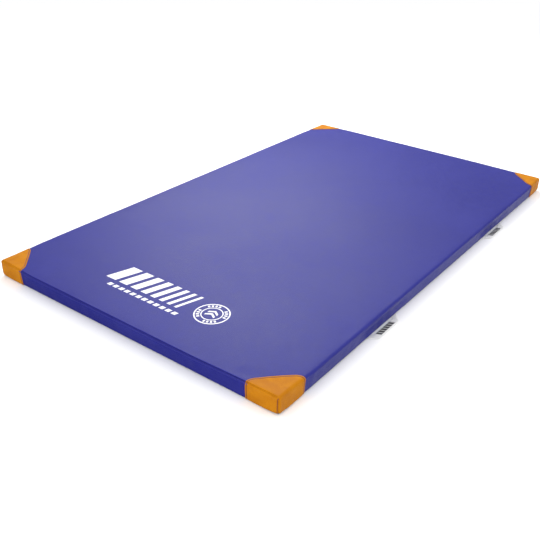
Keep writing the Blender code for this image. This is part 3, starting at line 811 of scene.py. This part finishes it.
def stitch_row(places, normals, length=0.0042, gap=0.0009, radius=0.00065):
    """Vertices and faces of a row of stitches along a line on a surface."""
    places, normals = np.asarray(places), np.asarray(normals)
    steps = np.linalg.norm(np.diff(places, axis=0), axis=1)
    travelled = np.concatenate([[0], np.cumsum(steps)])

    def at(distance, values):
        return np.array([np.interp(distance, travelled, values[:, k]) for k in range(3)])

    verts, faces, sides = [], [], range(STITCH_SIDES)
    for i in range(int((travelled[-1] - 0.001) / (length + gap))):
        start = 0.0008 + i * (length + gap)
        first = len(verts)
        for share in STITCH_STATIONS:
            here = start + length * share
            point, normal = at(here, places), at(here, normals)
            tangent = at(here + 0.0005, places) - at(here - 0.0005, places)
            side = np.cross(tangent / max(np.linalg.norm(tangent), 1e-9), normal)
            fullness = math.sin(math.pi * (0.14 + 0.72 * share))
            size = radius * (0.35 + 0.65 * fullness)
            centre = point + normal * (radius * (fullness - 0.75))
            for k in sides:
                angle = math.tau * k / STITCH_SIDES
                verts.append(centre + size * (math.cos(angle) * side + math.sin(angle) * normal))
        for ring_start in range(first, len(verts) - STITCH_SIDES, STITCH_SIDES):
            for k in sides:
                a, b = ring_start + k, ring_start + (k + 1) % STITCH_SIDES
                faces.append((a, b, b + STITCH_SIDES, a + STITCH_SIDES))
        faces.append(tuple(first + k for k in sides))
        faces.append(tuple(len(verts) - 1 - k for k in sides))
    return verts, faces


def stitches(name, rows, finish, slot, body="mat", **sizes):
    """One piece holding several rows of stitches, each given as its places and normals."""
    verts, faces = [], []
    for places, normals in rows:
        more, shapes = stitch_row(places, normals, **sizes)
        faces += [tuple(i + len(verts) for i in face) for face in shapes]
        verts += more
    obj = dress(new_object(name, verts, faces), finish)
    return settle(obj, body)


# ---------------------------------------------------------------- corner guards
STITCH_IN = 0.0054  # from the leather's edge to its stitches
PRESSED = 0.0013  # half the width of the line that they press into the leather, whose faces take the burnished colour with painted shade
GUARD_INSETS = (0.0008, 0.0018, 0.0029, STITCH_IN - PRESSED, STITCH_IN, STITCH_IN + PRESSED, 0.0082)


def arc(centre, radius, start, end, steps):
    angles = [math.radians(start + (end - start) * i / steps) for i in range(steps + 1)]
    return [(centre[0] + radius * math.cos(a), centre[1] + radius * math.sin(a)) for a in angles]


def guard_line(step=0.003):
    """The free edge of the wrap piece, in distances in from the long side and from the end.

    It starts at the bottom of the long side, where the first distance is negative, crosses the fold, turns
    over the shoulder into the diagonal, and ends at the end seam.
    """
    tangent = GUARD_SHOULDER * math.tan(math.radians(22.5))
    centre = (GUARD_DIAGONAL - GUARD_LEG - tangent, GUARD_LEG - GUARD_SHOULDER)
    half = [(0.0, GUARD_LEG)] + arc(centre, GUARD_SHOULDER, 90, 45, 10)
    top = half + [(y, x) for x, y in reversed(half)]
    moved = [(x - GUARD_OUT, y - GUARD_OUT) for x, y in top]
    moved[-1] = (moved[-1][0], 0.0)
    line = [(-TOP, moved[0][1]), (-0.02, moved[0][1]), (0.0, moved[0][1])] + moved[1:]
    return resample(line, step)


def leather_points(domain, free_edge, place, seams):
    """Places and normals on a guard's leather, with its edge, stitch groove and padding."""
    domain = np.asarray(domain)
    d = distance_to(domain, free_edge)
    rounded_edge = -0.0006 * np.clip(1 - d / 0.0014, 0, 1) ** 2
    groove = -0.00055 * bell(d, STITCH_IN, 0.0012)
    lip = 0.00018 * bell(d, 0.0016, 0.0009)
    padding = 0.0004 * np.clip((d - STITCH_IN) / 0.02, 0, 1)
    out = LEATHER_FACE + rounded_edge + groove + lip + padding
    for seam in seams:
        out += -0.00045 * bell(distance_to(domain, seam), STITCH_IN, 0.0011)
    return surface(place(domain), out, leather=True)


def leather_mesh(name, domain, faces, free_edge, place, seams):
    verts, normals = leather_points(domain, free_edge, place, seams)
    obj = new_object(name, verts, faces)
    face_outwards(obj, normals[faces[0][0]])
    dress(obj, "leather", "leather_edge", "groove_burnish_and_shade")
    centres = np.array([domain[list(face)].mean(axis=0) for face in faces])
    nearest = distance_to(centres, free_edge)
    for seam in seams:
        nearest = np.minimum(nearest, distance_to(centres, seam))
    # The faces along the stitch line take the groove's material: burnished leather with painted shade.
    pressed = np.abs(nearest - STITCH_IN) < PRESSED
    obj.data.polygons.foreach_set("material_index", np.where(pressed, 2, 0))
    thicken(obj, LEATHER).modifiers["thickness"].material_offset_rim = 1
    return obj


def fold_spacing(start, stop, folds, coarse=0.006, fine=0.0016, reach=0.011):
    """Coordinates from start to stop, close together near each fold."""
    made, at = [], start
    while at < stop:
        made.append(at)
        near = min((abs(at - f) for f in folds), default=1.0)
        at += fine if near < reach else coarse
    return made


def make_guard(end, side):
    sx, sy = (1 if side == "right" else -1), (1 if end == "far" else -1)

    def on_wrap(domain):
        a, b = domain[:, 0], domain[:, 1]
        x = np.where(a >= 0, HALF_X - a, HALF_X)
        z = np.where(a >= 0, TOP, np.maximum(TOP + a, 0.0))
        return np.stack([sx * x, sy * (HALF_Y - b), z], axis=1)

    def on_end(domain):
        a, c = domain[:, 0], domain[:, 1]
        return np.stack([sx * (HALF_X - a), np.full(len(a), sy * HALF_Y), np.maximum(TOP - c, 0.0)], axis=1)

    def make_piece(part, outline, lines, xs, ys, place, seams, rows):
        """One cut piece of leather, and its lines of stitches as places and normals."""
        domain, faces = filled(outline, lines, xs, ys)
        piece = leather_mesh(f"guard_{end}_{side}_{part}_leather", domain, faces, free, place, seams)
        settle(piece, replaces=[f"guard_{end}_{side}_{part}_piece"])
        return [leather_points(row, free, place, seams) for row in rows]

    # The piece sewn to the wrap: the top's corner, folded down over the long side.
    free = guard_line()
    leg = free[-1][0]
    end_seam = resample([(leg, 0.0), (0.012, 0.0)], 0.003)
    end_seam += resample([(0.012, 0.0), (-0.012, 0.0)], 0.0012)[1:]
    end_seam += resample([(-0.012, 0.0), (-TOP, 0.0)], 0.003)[1:]
    bottom = resample([(-TOP, 0.0), free[0]], 0.004)
    outline = free + end_seam[1:] + bottom[1:-1]
    inner = (leg * 0.3, leg * 0.3)
    lines = [inset_line(free, d, inner)[1:-1] for d in GUARD_INSETS]
    lines = [[p for p in line if p[1] > 0.0008 and p[0] > -TOP + 0.0008] for line in lines]
    xs = fold_spacing(-TOP + 0.004, leg, [0.0, -TOP])
    ys = fold_spacing(0.0008, leg, [0.0])
    row = [p for p in inset_line(free, STITCH_IN, inner) if p[1] > 0.0045 and p[0] > -TOP + 0.004]
    sewn = make_piece("wrap", outline, lines, xs, ys, on_wrap, [], [row])

    # The piece sewn to the end panel.
    free = resample([(leg - 0.0015, 0.0), (leg, 0.012), (leg, TOP)], 0.003)
    outline = free + resample([(leg, TOP), (0.0, TOP)], 0.004)[1:]
    outline += resample([(0.0, TOP), (0.0, 0.0)], 0.002)[1:] + resample([(0.0, 0.0), free[0]], 0.003)[1:-1]
    inner = (leg * 0.5, TOP * 0.5)
    lines = [inset_line(free, d, inner)[1:-1] for d in GUARD_INSETS]
    lines += [resample([(d, 0.008), (d, TOP - 0.0008)], 0.003) for d in GUARD_INSETS[3:6]]
    xs = fold_spacing(0.0006, leg, [0.0])
    ys = fold_spacing(0.0008, TOP, [0.0, TOP])
    seams = [[(0.0, 0.009), (0.0, TOP)]]
    row = [p for p in inset_line(free, STITCH_IN, inner) if 0.0045 < p[1] < TOP - 0.004]
    corner_row = resample([(STITCH_IN, 0.010), (STITCH_IN, TOP - 0.006)], 0.002)
    sewn += make_piece("end", outline, lines, xs, ys, on_end, seams, [row, corner_row])
    stitches(f"guard_{end}_{side}_stitching", sewn, "guard_thread", "guard_leather")


# ---------------------------------------------------------------- print on the top
INK_ABOVE, INK_THICK = 0.00030, 0.00018


def top_decal(name, outlines, step=0.012):
    """Flat shapes printed on the top, each an outline of (x, y) points, or a list of one and its holes."""
    shape = bmesh.new()
    for entry in outlines:
        outer, holes = (entry[0], entry[1:]) if isinstance(entry[0], list) else (entry, [])
        fine = resample(list(outer) + [outer[0]], 0.006)[:-1]
        low, high = np.min(fine, axis=0), np.max(fine, axis=0)
        xs, ys = (np.arange(low[k], high[k], step) + step / 2 for k in (0, 1))
        rings = [resample(list(h) + [h[0]], 0.006) for h in holes]
        domain, faces = filled(fine, rings, xs, ys, 0.003)
        for ring_line in rings:
            in_hole = inside([domain[list(f)].mean(axis=0) for f in faces], ring_line[:-1])
            faces = [f for f, hidden in zip(faces, in_hole) if not hidden]
        verts, _ = surface(np.column_stack([domain, np.full(len(domain), TOP)]), INK_ABOVE)
        made = [shape.verts.new(v) for v in verts]
        for face in faces:
            shape.faces.new([made[i] for i in face])
    bmesh.ops.delete(shape, geom=[v for v in shape.verts if not v.link_faces], context="VERTS")
    obj = from_shape(name, shape, smooth=True)
    face_outwards(obj, (0, 0, 1))
    thicken(obj, INK_THICK)
    return settle(dress(obj, "ink"))


def slanted_bar(x, y, width, height, slant=0.30):
    lean = slant * height
    return [(x, y), (x + width, y), (x + width + lean, y + height), (x + lean, y + height)]


def ring(centre, radius, count=64):
    turns = [math.tau * i / count for i in range(count)]
    return [(centre[0] + radius * math.cos(t), centre[1] + radius * math.sin(t)) for t in turns]


def make_print():
    """A generic sports graphic: a row of slanted bars, a line of dashes under it, and a round mark."""
    x, low, height, gap = -0.236, -0.848, 0.098, 0.0175
    bars = []
    for width in (0.044, 0.036, 0.030, 0.025, 0.021, 0.017, 0.014, 0.011):
        bars.append(slanted_bar(x, low, width, height))
        x += width + gap
    top_decal("print_slanted_bars", bars)
    left, low, pitch, width, height = -0.196, -0.882, 0.0262, 0.017, 0.015
    top_decal("print_dashes", [slanted_bar(left + i * pitch, low, width, height) for i in range(12)])
    x, y = centre = (0.196, -0.806)
    shapes = [[ring(centre, 0.058), ring(centre, 0.0535)], [ring(centre, 0.036), ring(centre, 0.0325)]]
    # Four groups of four ticks stand between the two rings.
    ticks, radius, half_u, half_v = 24, 0.0447, 0.0034, 0.0052
    for i in (i for i in range(ticks) if i % 6 < 4):
        turn = math.tau * (i + 0.5) / ticks
        c, s = math.cos(turn), math.sin(turn)
        corners = [(-half_u, -half_v), (half_u, -half_v), (half_u, half_v), (-half_u, half_v)]
        shapes.append([(x + c * (radius + v) - s * u, y + s * (radius + v) + c * u) for u, v in corners])
    drop, half, thick = 0.012, 0.019, 0.0085
    for lift in (-0.012, 0.004):
        tip = y + lift + drop
        low, high = (tip + d for d in (-thick / 2, thick / 2))
        under = [(x - half, low - drop), (x, low), (x + half, low - drop)]
        shapes.append(under + [(x + half, high - drop), (x, high), (x - half, high - drop)])
    top_decal("print_round_mark", shapes)


# ---------------------------------------------------------------- handles
STRAP = 0.0030
# Each end of the loop: its direction, how far the outer corner is drawn in, and that corner's radius.
NEAR_ROOT, FAR_ROOT = (-1, 0.016, 0.012), (1, 0.034, 0.009)
SLOT_HALF, SLOT_OUT, SLOT_ROUND = 0.061, 0.0042, 0.002  # the finger gap at the root


def handle_outline(span, reach):
    """Outer edge of the loop, as (along the seam, out from the fold), from the near root to the far root."""
    half, points = span / 2, []
    for sign, slant, radius in (NEAR_ROOT, FAR_ROOT):
        lean = 90 - math.degrees(math.atan2(slant, reach))
        back = radius * math.tan(math.radians(lean / 2))
        centre = (sign * (half - slant - back), reach - radius)
        side = [(sign * half, 0.0)] + arc(centre, radius, 90 - sign * lean, 90, 6)
        points += side[::-sign]
    return points


def handle_facts(name):
    """The side that the handle is on, its fold, its length along the seam, and how far out it reaches."""
    low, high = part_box(name)
    fold = joint_of(name)
    out = 1 if fold.x > 0 else -1
    return out, fold, high.y - low.y, (high.x if out > 0 else -low.x) - abs(fold.x)


def joint_of(body):
    return Vector(next(j["pos_m"] for j in frame["joints"] if j["child"] == body))


def strap_height(u, w, reach, span):
    """How high the strap's middle lies above the fold line: it eases down to the floor, with a soft curl."""
    curl = 0.0016 * np.clip((-u - span * 0.30) / (span * 0.2), 0, 1) ** 2 * np.clip(w / reach, 0, 1)
    wave = np.array([noise.noise(Vector((a * 22.0, b * 22.0, 2.0))) for a, b in zip(u, w)])
    return curl + 0.00035 * wave * np.clip(w / 0.008, 0, 1)


def make_handle(name):
    sx, fold, span, reach = handle_facts(name)
    outer = handle_outline(span, reach)
    turned = arc((SLOT_HALF - SLOT_ROUND, SLOT_OUT - SLOT_ROUND), SLOT_ROUND, 0, 90, 3)
    slot = [(SLOT_HALF, 0.0)] + turned
    slot += [(-x, y) for x, y in reversed(slot)]
    # The strap starts inside the seam, and its inner edge is the finger gap.
    start = -(abs(fold.x) - HALF_X) - 0.0040
    outline = [(-span / 2, start), (-span / 2, 0.0)] + outer[1:-1] + [(span / 2, 0.0), (span / 2, start)]
    outline += [(SLOT_HALF, start)] + slot + [(-SLOT_HALF, start)]
    fine = resample(outline + [outline[0]], 0.003)[:-1]
    xs = fold_spacing(-span / 2 + 0.002, span / 2, [], 0.0045)
    ys = fold_spacing(start + 0.0006, reach, [0.0], 0.0032, 0.0008, 0.003)
    domain, faces = filled(fine, [], xs, ys, 0.0010)
    edge = distance_to(domain, np.asarray(fine + [fine[0]]))
    u, w = domain[:, 0], domain[:, 1]
    places = on_strap(name, u, w)
    strap = new_object(f"{name}_strap", places, faces)
    face_outwards(strap, (0, 0, 1))
    uv = strap.data.uv_layers.new(name="strap")
    for loop in strap.data.loops:
        uv.data[loop.index].uv = (u[loop.vertex_index], w[loop.vertex_index])
    # The edges are rounded, and the strap thins out in the seam.
    selvedge = strap.vertex_groups.new(name="thickness")
    for i, d in enumerate(edge):
        full = math.sqrt(max(0.0, 1 - (1 - min(1.0, d / 0.0016)) ** 2))
        seam = min(1.0, max(0.35, (w[i] - start) / 0.006))
        selvedge.add([i], (0.30 + 0.70 * full) * seam, "REPLACE")
    solid = thicken(strap, STRAP, 0.0).modifiers["thickness"]
    solid.vertex_group = selvedge.name
    solid.thickness_vertex_group = 0.0
    strap.data = evaluated_mesh(strap)
    strap.modifiers.clear()
    strap.vertex_groups.clear()
    dress_again(strap, "webbing")
    out = Vector((sx, 0, 0))
    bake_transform(strap, "mat", name, start=fold - out * 0.0022, end=fold + out * 0.0016)
    settle(strap, replaces=[name, f"{name}_near_tab", f"{name}_far_tab"])
    make_handle_stitches(name)


def on_strap(name, u, w, out=0.0):
    """Points of the strap's middle, or above it, from distances along the seam and out from the fold."""
    sx, fold, span, reach = handle_facts(name)
    return np.column_stack([fold.x + sx * w, fold.y + u, fold.z + strap_height(u, w, reach, span) + out])


def evaluated_mesh(obj):
    bpy.context.view_layer.update()
    return bpy.data.meshes.new_from_object(obj.evaluated_get(bpy.context.evaluated_depsgraph_get()))


def dress_again(obj, *materials):
    obj.data.materials.clear()
    return dress(obj, *materials)


def make_handle_stitches(name):
    """A box of stitches at each root, where the two layers of webbing are sewn together."""
    _, _, span, reach = handle_facts(name)
    rows = []
    inner, low, high = SLOT_HALF + 0.0045, 0.0030, 0.0100
    for sign, slant, _ in (NEAR_ROOT, FAR_ROOT):
        outer = [span / 2 - slant * w / reach - 0.0050 for w in (low, high)]
        box_line = [(outer[0], low), (outer[1], high), (inner, high), (inner, low), (outer[0], low)]
        line = np.array(resample([(sign * u, w) for u, w in box_line], 0.001))
        places = on_strap(name, line[:, 0], line[:, 1], STRAP / 2)
        rows.append((places, np.tile([0.0, 0.0, 1.0], (len(line), 1))))
    sizes = {"length": 0.0026, "gap": 0.0008, "radius": 0.00032}
    stitches(f"{name}_stitching", rows, "white_thread", "handle_webbing", name, **sizes)


# ---------------------------------------------------------------- zip
ZIP_ROWS = (("upper", 1), ("lower", -1))
TOOTH_PITCH = 0.0026
TAPE_STEPS = 160
PLATE_BACK, PLATE_FRONT = 0.0009, 0.0019  # the slider's front plate, out from the cover
EAR_IN, EAR_OUT = 0.0026, 0.0035  # its lugs, from the middle of the pin
PIN_RADIUS, PIN_LENGTH = 0.0005, 0.0078


def make_zip():
    make_tapes()
    make_coils()
    for node in ("zip_far_stop", "zip_near_stop"):
        stop = rounded_block(node + "_clip", *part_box(node), 0.0006)
        settle(dress(stop, "metal"), replaces=[node])
    make_slider()
    make_pull()


def make_tapes():
    for which, sign in ZIP_ROWS:
        low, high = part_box(f"zip_tape_{which}")
        inner, outer = (low.z, high.z)[::sign]
        rows = []
        for share in (0.0, 0.06, 0.14, 0.3, 0.55, 0.8, 0.94, 1.0):
            z = inner + (outer - inner) * share
            x = low.x - 0.00022 * bell(share, 0.07, 0.06)
            rows.append([(x, low.y + (high.y - low.y) * i / TAPE_STEPS, z) for i in range(TAPE_STEPS + 1)])
        faces = grid_faces(len(rows), TAPE_STEPS + 1)
        tape = new_object(f"zip_{which}_tape", [p for row in rows for p in row], faces)
        face_outwards(tape, (-1, 0, 0))
        thicken(dress(tape, "tape"), (high.x - low.x) * 0.9)
        settle(tape, replaces=[f"zip_tape_{which}"])


def make_coils():
    """Two rows of moulded coil teeth, meshed alternately, on a cord that is sewn to each tape."""
    for which, sign in ZIP_ROWS:
        node = f"zip_teeth_{which}"
        low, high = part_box(node)
        inner = (low.z, high.z)[::sign][0]
        middle, depth, length = (low + high) / 2, high.x - low.x, high.y - low.y
        shape = bmesh.new()
        for i in range(int((length - 0.002) / TOOTH_PITCH)):
            y = low.y + 0.001 + TOOTH_PITCH * (i + (0.25 if sign > 0 else 0.75))
            tooth(shape, sign, middle.x, depth / 2, y, inner)
        core = Matrix.Translation((middle.x + depth * 0.12, middle.y, inner + sign * 0.0020))
        size = Matrix.Diagonal((depth * 0.55, length, 0.0012, 1))
        bmesh.ops.create_cube(shape, size=1, matrix=core @ size)
        coil = from_shape(f"zip_{which}_coil", shape, smooth=True)
        settle(dress(coil, "coil"), replaces=[node])


def tooth(shape, sign, middle, half, y, inner, sides=6):
    """One turn of the coil: a rounded hook that reaches to the other row."""
    thick = TOOTH_PITCH * 0.46
    rings = []
    for z, size in ((-0.0004, 0.80), (0.0004, 1.0), (0.0018, 0.86), (0.0030, 0.62)):
        angles = [math.tau * (k + 0.5) / sides for k in range(sides)]
        across_row = [middle + half * size * math.sin(a) * 0.98 for a in angles]
        along_row = [y + thick / 2 * size * math.cos(a) * 1.1 for a in angles]
        rings.append([shape.verts.new((x, v, inner + sign * z)) for x, v in zip(across_row, along_row)])
    for a, b in zip(rings, rings[1:]):
        for k in range(sides):
            quad = (a[k], a[(k + 1) % sides], b[(k + 1) % sides], b[k])
            shape.faces.new(quad[::sign])
    shape.faces.new(rings[0][::-sign])
    shape.faces.new(rings[-1][::sign])


def rounded_block(name, low, high, bevel, segments=3):
    return from_shape(name, bevelled_box(Vector(low), Vector(high), bevel, segments), smooth=True)


def merged(name, parts):
    """Several shapes as one piece."""
    shape = bmesh.new()
    for part in parts:
        part.data.transform(part.matrix_world)
        shape.from_mesh(part.data)
        bpy.data.objects.remove(part)
    return from_shape(name, shape)


def flat_shape(name, outline, holes, low_x, high_x, bevel=0.0002):
    """A plate in the YZ plane from outlines of (y, z) points, between two x positions, with eased edges."""
    curve = bpy.data.curves.new(name, "CURVE")
    curve.dimensions = "2D"
    curve.fill_mode = "BOTH"
    curve.extrude = max((high_x - low_x) / 2 - bevel, 1e-5)
    curve.bevel_depth = bevel
    curve.offset = -bevel
    curve.bevel_resolution = 2
    for points in [outline, *holes]:
        spline = curve.splines.new("POLY")
        spline.points.add(len(points) - 1)
        spline.use_cyclic_u = True
        for target, (a, b) in zip(spline.points, points):
            target.co = (a, b, 0, 1)
    holder = linked(name, curve)
    # Curve x goes to world Y, and curve y to world Z, so its normal is world X.
    holder.matrix_world = Matrix(((0, 0, 1, (low_x + high_x) / 2), (1, 0, 0, 0), (0, 1, 0, 0), (0, 0, 0, 1)))
    mesh = evaluated_mesh(holder)
    mesh.transform(holder.matrix_world)
    bpy.data.objects.remove(holder)
    return linked(name, mesh)


def make_slider():
    """Front and back plates with a waisted outline, a web between them, lugs for the pull, and their pin."""
    low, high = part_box("zip_slider")
    pivot_x, y, z = joint_of("zip_pull")
    half_y, half_z = (high.y - low.y) / 2, (high.z - low.z) / 2
    front, back = (-HALF_X - PLATE_FRONT, -HALF_X - PLATE_BACK), (high.x - 0.0012, high.x)
    waist = []
    for turn in range(0, 360, 12):
        c, s = math.cos(math.radians(turn)), math.sin(math.radians(turn))
        squarish = (abs(c) ** 3.5 + abs(s) ** 3.5) ** (-1 / 3.5)
        pinch = 1 - 0.16 * max(0.0, -c * squarish) - 0.05 * (1 - min(1, abs(c)))
        waist.append((y + half_y * c * squarish, z + half_z * s * squarish * pinch))
    parts = [flat_shape(name, waist, [], *x, 0.00028) for name, x in (("front", front), ("back", back))]
    web_y, into = half_y * 0.85, 0.0002
    web_low, web_high = (back[0] - into, y - web_y, z - into), (front[1] + into, y + web_y, z + into)
    parts.append(rounded_block("web", web_low, web_high, 0.00005, 1))
    for sign in (-1, 1):
        parts.append(slider_ear(pivot_x, y, *sorted((z + sign * EAR_IN, z + sign * EAR_OUT)), front[0]))
    pin = {"vertices": 20, "radius": PIN_RADIUS, "depth": PIN_LENGTH}
    bpy.ops.mesh.primitive_cylinder_add(location=(pivot_x, y, z), **pin)
    parts.append(bpy.context.object)
    slider = smooth_by_angle(merged("zip_slider_body", parts))
    settle(dress_again(slider, "metal"), "zip_slider", replaces=["zip_slider"])


def slider_ear(pivot_x, y, low_z, high_z, plate_x):
    """A rounded lug that holds one end of the pin."""
    foot, radius_y, radius_x = 0.0021, 0.0015, 0.0013
    turns = [math.radians(a) for a in range(180, -1, -15)]
    outline = [(y + radius_y * math.cos(a), pivot_x - radius_x * math.sin(a)) for a in turns]
    outline = [(y - foot, plate_x + 0.0003)] + outline + [(y + foot, plate_x + 0.0003)]
    shape = bmesh.new()
    ends = [[shape.verts.new((x, a, height)) for a, x in outline] for height in (low_z, high_z)]
    shape.faces.new(ends[0])
    shape.faces.new(ends[1][::-1])
    for i in range(len(outline)):
        j = (i + 1) % len(outline)
        shape.faces.new((ends[0][j], ends[0][i], ends[1][i], ends[1][j]))
    bmesh.ops.recalc_face_normals(shape, faces=shape.faces)
    return from_shape("ear", shape)


def smooth_by_angle(obj, degrees=38):
    """Smooth shading, with the edges sharper than this angle kept crisp."""
    shape = bmesh.new()
    shape.from_mesh(obj.data)
    for face in shape.faces:
        face.smooth = True
    for edge in shape.edges:
        if len(edge.link_faces) == 2 and edge.calc_face_angle(0.0) > math.radians(degrees):
            edge.smooth = False
    shape.to_mesh(obj.data)
    shape.free()
    return obj


def make_pull():
    """Flat pull with an eye round the pin, a long finger slot and a rounded end."""
    low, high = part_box("zip_pull")
    pivot_x, y, z = joint_of("zip_pull")
    half_z, end = (high.z - low.z) / 2 - 0.0001, low.y
    neck, tip, waist = y - 0.007, end + 0.006, half_z * 0.72
    outline = [(y - 0.0012, z + half_z), (y - 0.0012, z - half_z), (neck, z - waist), (tip, z - half_z)]
    outline += arc((end + half_z, z), half_z, 260, 100, 10) + [(tip, z + half_z), (neck, z + waist)]
    hole = arc((end + 0.0052, z), 0.0009, 90, 270, 9) + arc((y - 0.0095, z), 0.0009, -90, 90, 9)
    plate = flat_shape("plate", outline, [hole], pivot_x - 0.0005, pivot_x + 0.0005, 0.00018)
    pull_tab = smooth_by_angle(merged("zip_pull_tab", [plate, eye_tube(pivot_x, y, z - half_z, z + half_z)]))
    settle(dress_again(pull_tab, "metal"), "zip_pull", replaces=["zip_pull"])


def eye_tube(x, y, low_z, high_z, outer=0.0014, inner=0.0008, count=24):
    shape = bmesh.new()
    rings = []
    for radius, height in ((outer, low_z), (outer, high_z), (inner, high_z), (inner, low_z)):
        rings.append([shape.verts.new((a, b, height)) for a, b in ring((x, y), radius, count)])
    for a, b in zip(rings, rings[1:] + rings[:1]):
        for i in range(count):
            shape.faces.new((a[i], a[(i + 1) % count], b[(i + 1) % count], b[i]))
    bmesh.ops.recalc_face_normals(shape, faces=shape.faces)
    return from_shape("eye", shape)


# ---------------------------------------------------------------- floor, light and camera
SKY_LOW, SKY_HIGH = 0.45, 1.58
BELOW_NEAR, BELOW_FAR = 0.16, 1.0  # what the sides reflect from under the horizon
LIGHTS = (  # name, place, target, size, power
    ("panel", (-1.65, 1.75, 2.2), (0.05, -0.35, 0.0), (1.8, 1.1), 92),
    ("fill_front", (0.7, -3.5, 0.8), (0.05, -1.0, 0.0), (2.0, 1.2), 40),
    ("fill_right", (3.4, 0.2, 0.9), (0.6, 0.0, 0.0), (2.4, 1.4), 24),
)


def make_floor():
    bpy.ops.mesh.primitive_plane_add(size=30, location=(0, 0, -0.0005))
    floor = bpy.context.object
    floor.name = "floor"
    s = Shade("floor", 0.9)
    pale = s.mix(s.noise(0.7, 2.0), (0.95, 0.95, 0.95), (0.93, 0.93, 0.935))
    floor.data.materials.append(s.set(color=pale))
    floor.visible_glossy = False


def make_lights():
    """A bright overhead sky with a dim horizon, a soft panel that the top reflects, and two low fills."""
    world = bpy.data.worlds.new("studio")
    world.use_nodes = True
    s = Nodes(world.node_tree, "Generated")
    height = s.axis("Z")
    sky = s.fit(height, 0.30, 1.0, SKY_LOW, SKY_HIGH, smooth=True)
    # The sides mirror a dark foreground and a pale background, and the sky's own edge shows as plain white.
    toward = s.node("VectorMath", {0: s.where, 1: (0.39, 0.92, 0.0)}, operation="DOT_PRODUCT")
    ground = s.fit(toward.outputs["Value"], 0.0, 0.8, BELOW_NEAR, BELOW_FAR)
    around = s.node("Mix", {"Factor": s.fit(height, 0.02, -0.06), "A": sky, "B": ground}).outputs["Result"]
    seen = s.node("LightPath").outputs["Is Camera Ray"]
    background = world.node_tree.nodes["Background"]
    backdrop = s.node("Mix", {"Factor": seen, "A": around, "B": 1.0}).outputs["Result"]
    s.put(background.inputs["Strength"], backdrop)
    s.put(background.inputs["Color"], (1.0, 1.0, 1.0))
    bpy.context.scene.world = world
    for name, place, target, size, power in LIGHTS:
        light = bpy.data.lights.new(name, "AREA")
        light.shape = "RECTANGLE"
        light.size, light.size_y = size
        light.energy = power
        lamp = linked(name, light)
        lamp.location = place
        lamp.rotation_mode = "QUATERNION"
        lamp.rotation_quaternion = (Vector(target) - Vector(place)).to_track_quat("-Z", "Y")
    bpy.context.scene.view_settings.view_transform = "Standard"


def make_camera():
    """The camera's place and turn, fitted to the mat's four corners."""
    azimuth, elevation, roll = (math.radians(angle) for angle in (-35.319, 29.092, 1.878))
    level = math.cos(elevation)
    forward = Vector((math.sin(azimuth) * level, math.cos(azimuth) * level, -math.sin(elevation)))
    right = forward.cross(Vector((0, 0, 1))).normalized()
    up = right.cross(forward)
    turned_right = right * math.cos(roll) + up * math.sin(roll)
    turned_up = up * math.cos(roll) - right * math.sin(roll)
    data = bpy.data.cameras.new("camera")
    data.sensor_fit = "HORIZONTAL"
    data.sensor_width = 36
    data.lens = 48.16067
    data.shift_x, data.shift_y = -0.0293148, -0.0014074
    camera = linked("camera", data)
    turn = Matrix((turned_right, turned_up, -forward)).transposed()
    camera.matrix_world = Matrix.Translation((1.4636, -2.2089, 1.2730)) @ turn.to_4x4()
    bpy.context.scene.camera = camera


make_camera()
make_foam()
make_cover()
for end in ("near", "far"):
    for side in ("left", "right"):
        make_guard(end, side)
make_print()
for side in ("right", "left"):
    for end in ("near", "far"):
        make_handle(f"handle_{side}_{end}")
make_zip()
make_floor()
make_lights()
